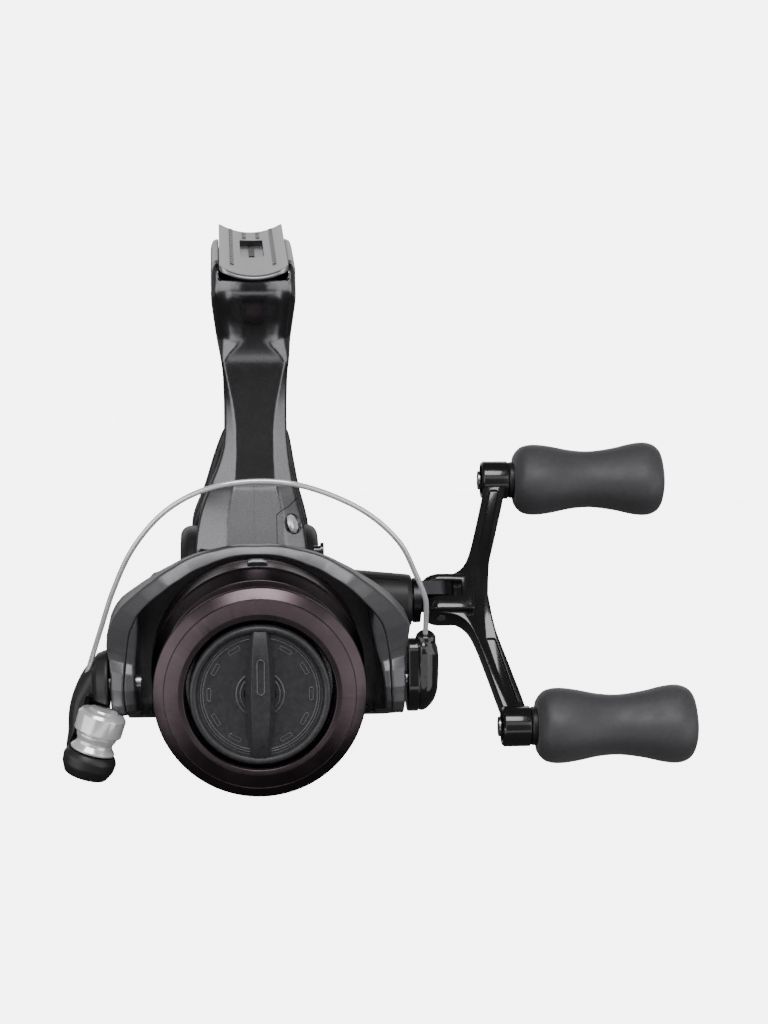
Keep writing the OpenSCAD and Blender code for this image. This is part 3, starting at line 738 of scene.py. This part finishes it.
def domed_screw(name, radius, dome, place):
    """A domed head with a cross recess; local Z points out of the head."""
    prof = rounded([(0.01, -0.6), (radius, -0.6), (radius, 0.05), (radius * 0.72, dome * 0.75),
                    (0.01, dome)], [0, 0.05, 0.12, radius * 0.5, 0], 4)
    head = lathe(name, prof, place, 48)
    for turn in (0, math.pi / 2):
        slot = prism("slot", [(-radius * 0.62, dome * 0.35), (radius * 0.62, dome * 0.35),
                              (radius * 0.62, dome * 2), (-radius * 0.62, dome * 2)],
                     -radius * 0.14, radius * 0.14,
                     place @ Matrix.Rotation(turn, 4, "Z"), plane="XZ")
        cut(head, slot)
    return smooth(head, 35)


# -------- rotor
ROTOR_REAR = 42.4
ROOM_FLOOR = -29.95  # bottom of the left arm's pocket for the open bail
# Angle above the handle side's horizontal, then the radius there
RIM_LOW = [(-90, 26.0), (-40, 26.0), (-30, 26.3), (-27.5, 28.0)]
ARCH_OUT = [(31.6, 33.5), (38.6, 31.9), (48.5, 30.3), (70, 28.1), (90, 27.3)]
OUT_RIGHT = RIM_LOW + [(-25.5, 31.4), (-24, 33.0), (-12, 33.5), (-3, 33.1), (5, 33.2), (11, 33.9),
                       (15, 35.4), (18, 36.9), (22, 35.9), (25.3, 35.2)] + ARCH_OUT
OUT_LEFT = RIM_LOW + [(-25.5, 31.8), (-24, 33.4), (-12, 33.8), (0, 33.5), (5.4, 33.6),
                      (10.5, 34.4), (14, 35.6), (17, 36.2), (19, 36.1), (21.8, 35.9),
                      (25.3, 35.3)] + ARCH_OUT
RIM_IN = [(-90, 25.2), (-30, 25.2), (-27.5, 26.6), (-25.5, 29.2), (-24, 30.3)]
ARCH_IN = [(38.1, 28.3), (47.9, 26.8), (62.9, 25.6), (90, 25.1)]
IN_RIGHT = RIM_IN + [(-12.4, 30.8), (-3.3, 29.9), (5.2, 29.8), (12.8, 30.3), (18.8, 31.0),
                     (21.8, 31.0), (26.2, 30.3), (30.8, 29.4)] + ARCH_IN
IN_LEFT = RIM_IN + [(-8.1, 30.5), (6, 30.5), (11.9, 30.7), (16, 31.1), (19.7, 31.4),
                    (25.4, 31.0), (30, 30.1)] + ARCH_IN
COVER_RIGHT = [(-24, 29.7), (-13, 29.2), (-3.4, 28.4), (5.6, 27.9), (14, 27.7), (20.7, 28.2),
               (23.4, 29.0), (25.6, 30.0)]
COVER_LEFT = [(-24, 29.4), (-15, 28.5), (-8.9, 27.9), (-0.6, 27.8), (6.6, 28.0), (12.8, 28.5),
              (17.2, 29.0), (20.9, 29.7), (22.8, 30.2), (25.2, 30.9)]
# Height on the outside of an arm, then the front edge there
FRONT = [(-14.0, 35.0), (-7.8, 10.5), (-7.3, 7.8), (-6.3, 6.0), (-4.0, 4.7), (0.0, 3.8), (4.0, 4.4),
         (6.5, 5.8), (8.3, 8.2), (9.5, 11.5), (12.0, 17.0), (15.0, 22.1), (18.0, 26.7),
         (21.0, 30.7), (24.0, 33.6), (27.0, 35.0)]


def between(rows, x):
    return float(np.interp(x, [r[0] for r in rows], [r[1] for r in rows]))


def by_side(right, left):
    """A radius as a function of the angle round the shaft, from two tables."""
    def radius(a):
        side = right if math.cos(a) >= 0 else left
        return between(side, math.degrees(math.asin(math.sin(a))))
    return radius


outside = by_side(OUT_RIGHT, OUT_LEFT)
inside = by_side(IN_RIGHT, IN_LEFT)


def arm_front(a):
    """Front edge of the rotor at an angle round the shaft: the arms reach forward."""
    return between(FRONT, outside(a) * math.sin(a))


def turn_angles():
    """Angles round the shaft, closer together where an arm begins and ends."""
    half = np.concatenate([np.arange(-90, -32, 1.5), np.arange(-32, 36, 0.4),
                           np.arange(36, 90, 1.2)])
    return np.radians(np.concatenate([half, 180 - half[::-1]]))


def band(name, inner, outer, angles, section, whole=True):
    """A shell round the shaft; section gives its (radius, y) corners and their rounding."""
    rings = []
    for a in angles:
        corners, radii = section(inner(a), outer(a), arm_front(a))
        rings.append([(r * math.cos(a), y, r * math.sin(a))
                      for r, y in rounded(corners, radii, 4)])
    return weld(mesh_object(name, *skin(rings, loop=whole)))


def rim_section(ri, ro, front):
    rear = ROTOR_REAR
    return [(ri, rear - 0.4), (ro - 1.6, rear), (ro + 0.1, 38.5), (ro, front + 1.15),
            (ri + 0.35, front), (ri, front + 0.35)], [0.3, 2.2, 2.5, 0.9, 0.5, 0.3]


def floor_section(ri, ro, front):
    return [(9.5, 38.4), (ri + 0.9, 38.4), (ri + 0.9, 42.1), (9.5, 42.1)], 0.2


def cover_section(ri, ro, front):
    front = min(front + 0.3, 31.5)
    return [(ri, 34.0), (ro - 0.16, 34.0), (ro - 0.16, front), (ri, front)], [.3, .2, .25, .9]


def rotor_shell():
    angles = turn_angles()
    rim = band("rim", inside, outside, angles, rim_section)
    room = [(15, -13.5), (34.8, -13.5), (34.8, 1.5), (15, 1.5)]
    cut(rim, prism("bail_room", room, -45, ROOM_FLOOR))
    floor = band("floor", inside, outside, angles, floor_section)
    hub = lathe("hub", rounded([(3.5, 33.6), (5.6, 33.6), (6.2, 34.2), (6.2, 39), (10, 39),
                                (10, 41), (3.5, 41)], 0.2, 2), ALONG_Y, 64)
    return smooth(join("rotor_shell", [rim, floor, hub]), 32)


def arm_cover(name, rows, flip):
    """The cover plate set into the inside of a rotor arm."""
    low, high = rows[0][0] + 2.0, rows[-1][0]
    degrees = np.linspace(low, high, 90)
    angles = np.radians(180 - degrees if flip else degrees)
    cover_in = by_side(rows, rows)
    return smooth(band(name, cover_in, inside, angles, cover_section, False), 32)


piece(rotor_shell(), "rotor", "housing", ["rotor"], look=ROTOR_PAINT)
piece(arm_cover("arm_cover_shell_right", COVER_RIGHT, False), "rotor", "housing",
      ["arm_cover_right"], look=ROTOR_PAINT)
piece(arm_cover("arm_cover_shell_left", COVER_LEFT, True), "rotor", "housing",
      ["arm_cover_left"], look=ROTOR_PAINT)

# -------- spool
SPOOL_LIP = [(16.7, 1.45), (16.7, -2.5), (17.15, -3.2), (18.3, -3.05), (21.45, -2.0),
             (23.8, -0.55), (24.0, 0.15), (23.7, 0.9), (21.5, 1.45)]
SPOOL_BODY = [(2.2, 8.7), (5, 8.7), (5, 12), (16.7, 12), (16.7, 1.5), (18.1, 1.5), (18.1, 15.7),
              (22.6, 16.1), (24.3, 20.8), (24.8, 21.6), (24.8, 30.6), (24.3, 31.0),
              (24.3, 31.5), (24.8, 31.9), (24.8, 34.8), (23.2, 34.8), (23.2, 19.4),
              (16.7, 18.6), (16.7, 15), (2.2, 15)]
lip = lathe("spool_lip_ring", rounded(SPOOL_LIP, [.1, .2, .25, .15, .12, .3, .4, .3, .1], 4),
            ALONG_Y, 256)
glint = lathe("glint", rounded([(21.3, -1.95), (21.45, -2.12), (21.6, -1.9), (21.5, -1.6)],
                               0.04, 2), ALONG_Y, 256)
piece(smooth(join("spool_lip_ring", [lip, glint]), 25), "spool", "aubergine", ["spool_lip"])
drum = turning("spool_drum", SPOOL_BODY, [.1, .1, .3, .3, .1, .1, .8, .25, .5, .5, .15, .1, .1,
                                          .15, .3, .3, .4, .4, .3, .1], ALONG_Y, 256, 4, 25)
piece(drum, "spool", "aubergine", ["spool_body"])
# A ring in that painted shade over the arbor, between the lip and the skirt.
arbor_shade_band = turning("spool_arbor_shade_band", [(17.6, 1.7), (18.3, 1.7), (18.3, 15.5), (17.6, 15.5)], 0.15,
                ALONG_Y, 192, 2, 25)
piece(arbor_shade_band, "spool", "aubergine", look=ARBOR_SHADE)


def line_clip():
    """The small moulded clip that parks the line's end on the skirt."""
    prof = rounded([(-2.5, 24.2), (2.5, 24.2), (2.3, 25.2), (1.2, 25.5), (-1.2, 25.5),
                    (-2.3, 25.2)], 0.3, 3)
    return soften(prism("line_clip_tab", prof, 24.2, 29.0, plane="XZ"), 0.2)


piece(line_clip(), "spool", "gloss_black", ["line_clip"])

# -------- drag knob
KNOB_R = 15.85
FACE_Y = -1.75
BAR_TOP = -5.0
BAR_HALF = 14.35  # half length of the finger bar
DIAL_FORM = [(3.6, FACE_Y), (12.5, FACE_Y), (13.9, FACE_Y), (14.3, -3.0), (15.0, -3.35),
             (15.6, -3.05), (KNOB_R, -2.2), (KNOB_R, 3.0), (14.0, 3.0), (14.0, 0.0), (3.6, 0.0)]
knob = turning("drag_knob_dial", DIAL_FORM, [.1, .1, .25, .4, .5, .4, .3, .3, .2, .2, .1],
               ALONG_Y, 224, 3, 30)
piece(knob, "drag", "knob_face", ["drag_knob"])


def raised_line(points, face, tube=0.17):
    """A raised bead following a closed (x, z) outline on a face at y."""
    rings = []
    for i, (x, z) in enumerate(points):
        nxt, prv = Vector(points[(i + 1) % len(points)]), Vector(points[i - 1])
        ahead = (nxt - prv).normalized()
        side = Vector((ahead.y, 0, -ahead.x))
        rings.append([Vector((x, face, z)) + tube * (math.cos(t) * side
                      + math.sin(t) * Vector((0, 1, 0)))
                      for t in around(10)])
    return mesh_object("bead", *skin(rings, loop=True))


def dash(turn):
    """The outline of a short bar on the dial, square to the radius."""
    radius, half_long, half_wide = 11.4, 1.4, 0.42
    loop = rounded([(-half_long, -half_wide), (half_long, -half_wide),
                    (half_long, half_wide), (-half_long, half_wide)], 0.3, 4)
    a = math.radians(turn)
    along, out = Vector((math.cos(a), -math.sin(a))), Vector((math.sin(a), math.cos(a)))
    return raised_line([tuple(along * u + out * (radius + v)) for u, v in loop], FACE_Y, 0.13)


def dial_beads():
    """The raised outlines on the dial and on its bar."""
    bits = [dash(t) for t in range(0, 360, 30) if t not in (0, 180)]
    bits += [raised_line(circle(r, 128), FACE_Y, t)
             for r, t in ((12.75, 0.2), (13.3, 0.16), (5.3, 0.26), (4.4, 0.2))]
    capsule = rounded([(-0.7, 0.5), (0.9, 0.5), (0.9, 8.4), (-0.7, 8.4)], 0.78, 6)
    bits.append(raised_line(capsule, BAR_TOP, 0.16))
    return smooth(join("drag_dial_beads", bits), 40)


piece(dial_beads(), "drag", "knob_face", look=BEAD)


def drag_bar():
    """The finger bar across the dial: a ridge with swelling flanks."""
    rings = []
    for z in np.linspace(-BAR_HALF, BAR_HALF, 61):
        end = abs(z) / BAR_HALF
        top = BAR_TOP + 1.9 * end ** 4
        half = 2.05 - 0.7 * end ** 1.6
        foot_w = 3.45 - 1.4 * end ** 2
        ring = rounded([(-foot_w, FACE_Y + 0.3), (-foot_w, FACE_Y - 0.15),
                        (-foot_w + 0.35, FACE_Y - 0.9), (-half, top), (half, top),
                        (foot_w - 0.35, FACE_Y - 0.9), (foot_w, FACE_Y - 0.15),
                        (foot_w, FACE_Y + 0.3)], [.05, .1, .6, .25, .25, .6, .1, .05], 3)
        rings.append([(x, y, z) for x, y in ring])
    return smooth(weld(mesh_object("drag_finger_bar", *skin(rings))), 26)


piece(drag_bar(), "drag", "knob_face", ["drag_bar"])

# -------- bail
BAIL_TILT = math.radians(25)
WIRE = [(-37.4, -4.4), (-38.7, -3.5), (-39.5, -2.0), (-39.6, 0.2), (-37.9, 6.4), (-35.4, 15.2),
        (-32.2, 26.0), (-27.6, 37.0), (-20.6, 46.4), (-11.7, 52.1), (-0.9, 54.1), (10.1, 52.6),
        (22.2, 46.6), (30.6, 38.2), (34.9, 29.0), (36.9, 23.6), (37.5, 20.6), (37.6, 15.0),
        (37.6, 11.0)]


def bail_wire():
    path = [(x, BAIL_Y - w * math.sin(BAIL_TILT), w * math.cos(BAIL_TILT))
            for x, w in curve_through(WIRE, 8)]
    return smooth(sweep("bail_wire_bow", path, 0.6, 20), 60)


piece(bail_wire(), "bail", "chrome", ["bail_wire"])


def limb(stations):
    """A tapering limb through stations of (x, y, z, radius in X, radius in YZ)."""
    pts = curve_through(stations, 10)
    rings = []
    for i, q in enumerate(pts):
        p = Vector(q[:3])
        ahead = (Vector(pts[min(i + 1, len(pts) - 1)][:3])
                 - Vector(pts[max(i - 1, 0)][:3])).normalized()
        side = ahead.cross(Vector((1, 0, 0))).normalized()
        over = side.cross(ahead).normalized()
        wide, deep = float(q[3]), float(q[4])
        rings.append([p + over * (wide * math.cos(t)) + side * (deep * math.sin(t))
                      for t in around(28)])
    return mesh_object("limb", *skin(rings))


def bail_arm():
    """The black arm from the left pivot out behind the line roller."""
    disc = lathe("disc", rounded([(0.5, -37.5), (5.4, -37.5), (6.9, -36.7), (7.7, -34.6),
                                  (7.7, -34.0), (0.5, -34.0)],
                                 [0.1, 0.8, 0.8, 0.5, 0.3, 0.1], 4), on_x(0, BAIL_Y, 0), 72)
    web = limb([(-36.0, BAIL_Y + 0.5, 5.0, 1.6, 4.4), (-37.6, BAIL_Y + 0.8, 1.6, 2.6, 5.0),
                (-39.7, BAIL_Y + 1.0, -2.6, 2.6, 5.0), (-40.9, BAIL_Y + 0.4, -6.5, 2.4, 4.8),
                (-41.2, BAIL_Y - 0.4, -11.0, 2.3, 4.6), (-41.5, BAIL_Y - 1.8, -14.5, 2.4, 4.4),
                (-40.9, BAIL_Y - 3.6, -17.0, 2.3, 3.8)])
    arm = cast("bail_arm_shell", [disc, web], 0.3)
    clear = lathe("clear", [(0.01, -2.3), (5.7, -2.3), (5.7, 9), (0.01, 9)], ROLLER_FRAME, 64)
    return smooth(cut(arm, clear), 45)


# (radius, height) along the roller's axis, from the end cover up to the wire's cap
END_FORM = [(0.01, -2.35), (5.5, -2.35), (6.1, -3.6), (5.9, -5.6), (4.7, -8.0), (0.01, -8.2)]
ROLLER_FORM = [(2.1, -2.0), (5.0, -2.0), (5.1, -1.5), (4.2, -0.4), (4.1, 0.3), (4.6, 1.4),
               (4.7, 2.0), (2.1, 2.0)]
CAP_FORM = [(0.01, 2.15), (5.0, 2.15), (5.45, 2.6), (5.5, 6.4), (4.9, 7.2), (3.4, 7.4),
            (3.1, 7.9), (0.01, 8.0)]
piece(turning("arm_end_shell", END_FORM, [0, .5, 1.2, 1.6, 1.1, 0], ROLLER_FRAME, 96, 5, 40),
      "bail", "black_plastic", ["arm_end_cover"])
piece(bail_arm(), "bail", "black_plastic", ["bail_arm"])
piece(turning("wire_cap_shell", CAP_FORM, [0, .15, .25, .35, .3, .3, .3, 0], ROLLER_FRAME),
      "bail", "chrome", ["wire_cap"])
piece(turning("line_roller_ring", ROLLER_FORM, [.1, .2, .2, .6, .6, .3, .15, .1], ROLLER_FRAME),
      "roller", "chrome", ["line_roller"])


def bail_lever():
    """The gloss-black lever on the handle side that holds the wire's end."""
    inner_plate = prism("plate", hull(circle(7.4, 72, (BAIL_Y, 0)) + circle(3.2, 40, (8.6, 7.0))),
                        33.75, 36.3)
    soften(inner_plate, 0.35)
    outline = hull(circle(7.3, 72, (BAIL_Y, 0)) + circle(3.4, 40, (7.4, 7.6)))
    centre = np.array((BAIL_Y - 2.0, 4.0))
    rings = []
    for x, s in [(36.2, 0.96), (36.55, 0.985), (37.2, 1.0), (38.2, 0.96), (39.2, 0.87),
                 (40.0, 0.76), (40.5, 0.62), (40.75, 0.4), (40.8, 0.05)]:
        rings.append([(x, *(centre + s * (np.array(p) - centre))) for p in outline])
    shell = weld(mesh_object("lever", *skin(rings)))
    direction = Vector((0, -math.sin(BAIL_TILT), math.cos(BAIL_TILT)))
    foot = Vector((37.7, BAIL_Y, 0)) + direction * 7.0
    turn = direction.to_track_quat("Z", "Y").to_matrix().to_4x4()
    collar = lathe("collar", rounded([(0.01, 0), (2.6, 0), (2.3, 5.0), (1.6, 5.9), (0.01, 5.9)],
                                     [0, .2, .6, .4, 0], 4), Matrix.Translation(foot) @ turn, 48)
    shell = cast("shell", [shell, collar], 0.3)
    return smooth(join("bail_lever_shell", [inner_plate, shell]), 40)


piece(bail_lever(), "bail", "gloss_black", ["bail_lever"])

# -------- handle
ARM_HALF = (joint_place("upper_knob_spin") - joint_place("lower_knob_spin")).length / 2


def handle_casting():
    """The boomerang arm, its fork and the two knob bosses."""
    near = [(5.2, 43.5), (5.4, 46.8), (6.2, 50.0), (8.2, 52.4), (12, 54.2), (20, 56.4), (30, 58.9),
            (ARM_HALF, 60.6)]
    far = [(ARM_HALF, 65.8), (30, 64.4), (20, 61.8), (10, 59.3), (0, 58.2)]
    edge = curve_through(near, 5)[:-1] + curve_through(far, 5)
    outline = edge + [(-n, x) for n, x in edge[::-1][1:]]
    arms = weld(prism("arms", [(x, n) for n, x in outline], -2.7, 2.7, ARMS, plane="XZ"))
    for s in (-1, 1):
        for face in (-1, 1):
            groove = prism("groove", rounded([(56.6, s * 13), (59.0, s * 13), (63.2, s * 31.5),
                                              (60.9, s * 31.5)], 0.6, 3),
                           *sorted((face * 1.9, face * 4.0)), ARMS, plane="XZ")
            cut(arms, groove)
    soften(arms, 0.7)
    fork = prism("fork", hull([(x + FOLD_X, y) for x, y in circle(4.4, 48)]
                              + [(54.5, 4.2), (54.5, -4.2)]), -5.2, 5.2, ARMS, plane="XY")
    slot = prism("slot", [(38, -1.2), (51.6, -1.2), (51.6, 3.2), (38, 3.2)], -6, 6, ARMS,
                 plane="XZ")
    soften(cut(weld(fork), slot), 0.5)
    bits = [arms, fork]
    for s in (-1, 1):
        cup = [(0.01, 61.2), (3.6, 61.2), (3.9, 59.3), (4.5, 59.1), (4.9, 59.7), (4.9, 66.0),
               (0.01, 66.0)]
        bits.append(lathe("boss", rounded(cup, [0, .3, .2, .2, .4, .3, 0], 3),
                          ARMS @ on_x(0, 0, s * ARM_HALF), 64))
    return smooth(join("handle_casting", bits), 40)


piece(handle_casting(), "handle", "gloss_black", ["handle_hub", "handle_arm"])

KNOB_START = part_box("knob_upper")[0].x / MM
SQUARENESS = 2.35  # 2 is an ellipse, more is squarer


def grip(name, side):
    """A soft oval knob: two swells, a waist and a rounded end."""
    rows = [(0.0, 5.6, 6.2), (0.7, 6.6, 7.3), (2.2, 7.7, 8.5), (5.0, 8.2, 9.0), (9.0, 8.0, 8.6),
            (15.0, 6.9, 7.5), (20.0, 6.6, 7.2), (26.0, 7.2, 8.0), (31.0, 8.2, 9.1),
            (34.4, 8.4, 9.4), (36.8, 7.8, 8.7), (38.3, 6.5, 7.2), (39.0, 4.6, 5.0),
            (39.3, 2.0, 2.2)]
    rings = []
    for x in np.concatenate([np.linspace(0, 2.2, 10), np.linspace(2.6, 36.4, 50),
                             np.linspace(36.8, 39.3, 18)]):
        across, along = table(rows, x)
        ring = []
        for t in around(72):
            c, s = (math.copysign(abs(f) ** (2 / SQUARENESS), f)
                    for f in (math.cos(t), math.sin(t)))
            ring.append((KNOB_START + x, across * c, side * ARM_HALF + along * s))
        rings.append(ring)
    return smooth(weld(mesh_object(name, *skin(rings), ARMS)), 60)


for word, side in (("upper", 1), ("lower", -1)):
    piece(grip(f"grip_{word}", side), f"{word}_knob", "rubber",
          [f"knob_{word}", f"knob_cap_{word}"])
    form = [(3.2, 66.15), (4.5, 66.15), (4.7, 66.6), (4.7, 67.6), (3.2, 67.6)]
    collar = turning(f"grip_collar_{word}", form, 0.2, ARMS @ on_x(0, 0, side * ARM_HALF),
                     64, 3, 30)
    piece(collar, f"{word}_knob", "black_plastic")

# -------- screws
screw = domed_screw("cover_screw_front", 2.35, 0.8, COVER_SCREW)
piece(screw, "body", "steel", look=CHROME)

# -------- stage
# Sizes in metres from here on
FLOOR_DROP = 0.16  # floor below the reel's lowest point
FLOOR_FLAT = 1.6  # radius of the floor's flat middle
FLOOR_CURVE = 1.4  # radius of its curve up to the wall
FLOOR_GLOW = 6.0  # how bright it looks to the camera
FLOOR_LIGHT = 0.05  # how much it lights the reel
CENTRE = ORIGIN + Vector((0.01, 0.03, 0.02))


def stage_bowl():
    """A seamless pale floor that curves up far away on every side."""
    low = cad_box[0][2] - FLOOR_DROP
    prof = [(FLOOR_FLAT, low)]
    for t in np.linspace(0, math.pi / 2, 24):
        prof.append((FLOOR_FLAT + FLOOR_CURVE * math.sin(t), low + FLOOR_CURVE * (1 - math.cos(t))))
    prof.append((FLOOR_FLAT + FLOOR_CURVE, low + 3.0))
    turns = 96
    verts = [(r * math.cos(t), r * math.sin(t), z) for t in around(turns) for r, z in prof]
    n = len(prof)
    faces = [(k * n + i, ((k + 1) % turns) * n + i, ((k + 1) % turns) * n + i + 1, k * n + i + 1)
             for k in range(turns) for i in range(n - 1)]
    faces.append(tuple(k * n for k in range(turns))[::-1])
    mesh = bpy.data.meshes.new("stage")
    mesh.from_pydata(verts, [], faces)
    mesh.shade_smooth()
    obj = in_scene("stage", mesh)
    mat, nodes, links, bsdf = new_material("pale_floor")
    bsdf.inputs["Base Color"].default_value = (0.8, 0.8, 0.8, 1)
    bsdf.inputs["Roughness"].default_value = 0.9
    bsdf.inputs["Emission Color"].default_value = (1, 1, 1, 1)
    ray = nodes.new("ShaderNodeLightPath")
    links.new(spread(nodes, links, ray.outputs["Is Camera Ray"], 0, 1, FLOOR_LIGHT, FLOOR_GLOW),
              bsdf.inputs["Emission Strength"])
    mesh.materials.append(mat)


stage_bowl()
world = bpy.data.worlds.new("studio")
bpy.context.scene.world = world
world.use_nodes = True
sky = world.node_tree.nodes["Background"]
sky.inputs["Color"].default_value = (1, 1, 1, 1)
sky.inputs["Strength"].default_value = 0.03


def softbox(name, away, size, radiance, target=(0, 0, 0)):
    """A rectangular light at an offset from the reel's middle, unseen by the camera."""
    light = bpy.data.lights.new(name, "AREA")
    light.shape = "RECTANGLE"
    light.size, light.size_y = size
    light.energy = radiance * math.pi * size[0] * size[1]
    obj = in_scene(name, light)
    obj.location = CENTRE + Vector(away)
    obj.rotation_euler = (Vector(target) - Vector(away)).to_track_quat("-Z", "Y").to_euler()
    obj.visible_camera = False


softbox("top_front", (0, -0.5, 0.75), (0.6, 0.4), 7.5)
softbox("back", (0, 0.9, 0.35), (1.2, 0.5), 0.7)
softbox("left", (-0.78, -0.5, 0.1), (1.05, 0.9), 1.55)
softbox("right", (0.78, -0.5, 0.1), (1.05, 0.9), 1.35)
softbox("front_low", (0, -0.36, -0.15), (0.7, 0.07), 1.0, (0, 0.02, 0.05))
softbox("front_high", (0, -0.9, 0.46), (1.3, 0.3), 0.8)
for word, side in (("left", -1), ("right", 1)):
    softbox(f"{word}_low", (side * 0.26, -0.2, -0.19), (0.16, 0.3), 1.2, (0, 0, 0.04))

# -------- camera
LENS = 83.1
CAMERA_AT = Vector((-8.4, -517, 117))  # in the shaft frame, in millimetres
YAW, PITCH = math.radians(4.0), math.radians(8.4)
camera_data = bpy.data.cameras.new("camera")
camera_data.lens = LENS
camera_data.sensor_width = 36
camera_data.clip_start = 0.01
camera = in_scene("camera", camera_data)
camera.location = ORIGIN + CAMERA_AT * MM
ahead = Vector((math.sin(YAW) * math.cos(PITCH), math.cos(YAW) * math.cos(PITCH),
                -math.sin(PITCH)))
camera.rotation_euler = ahead.to_track_quat("-Z", "Y").to_euler()
bpy.context.scene.camera = camera
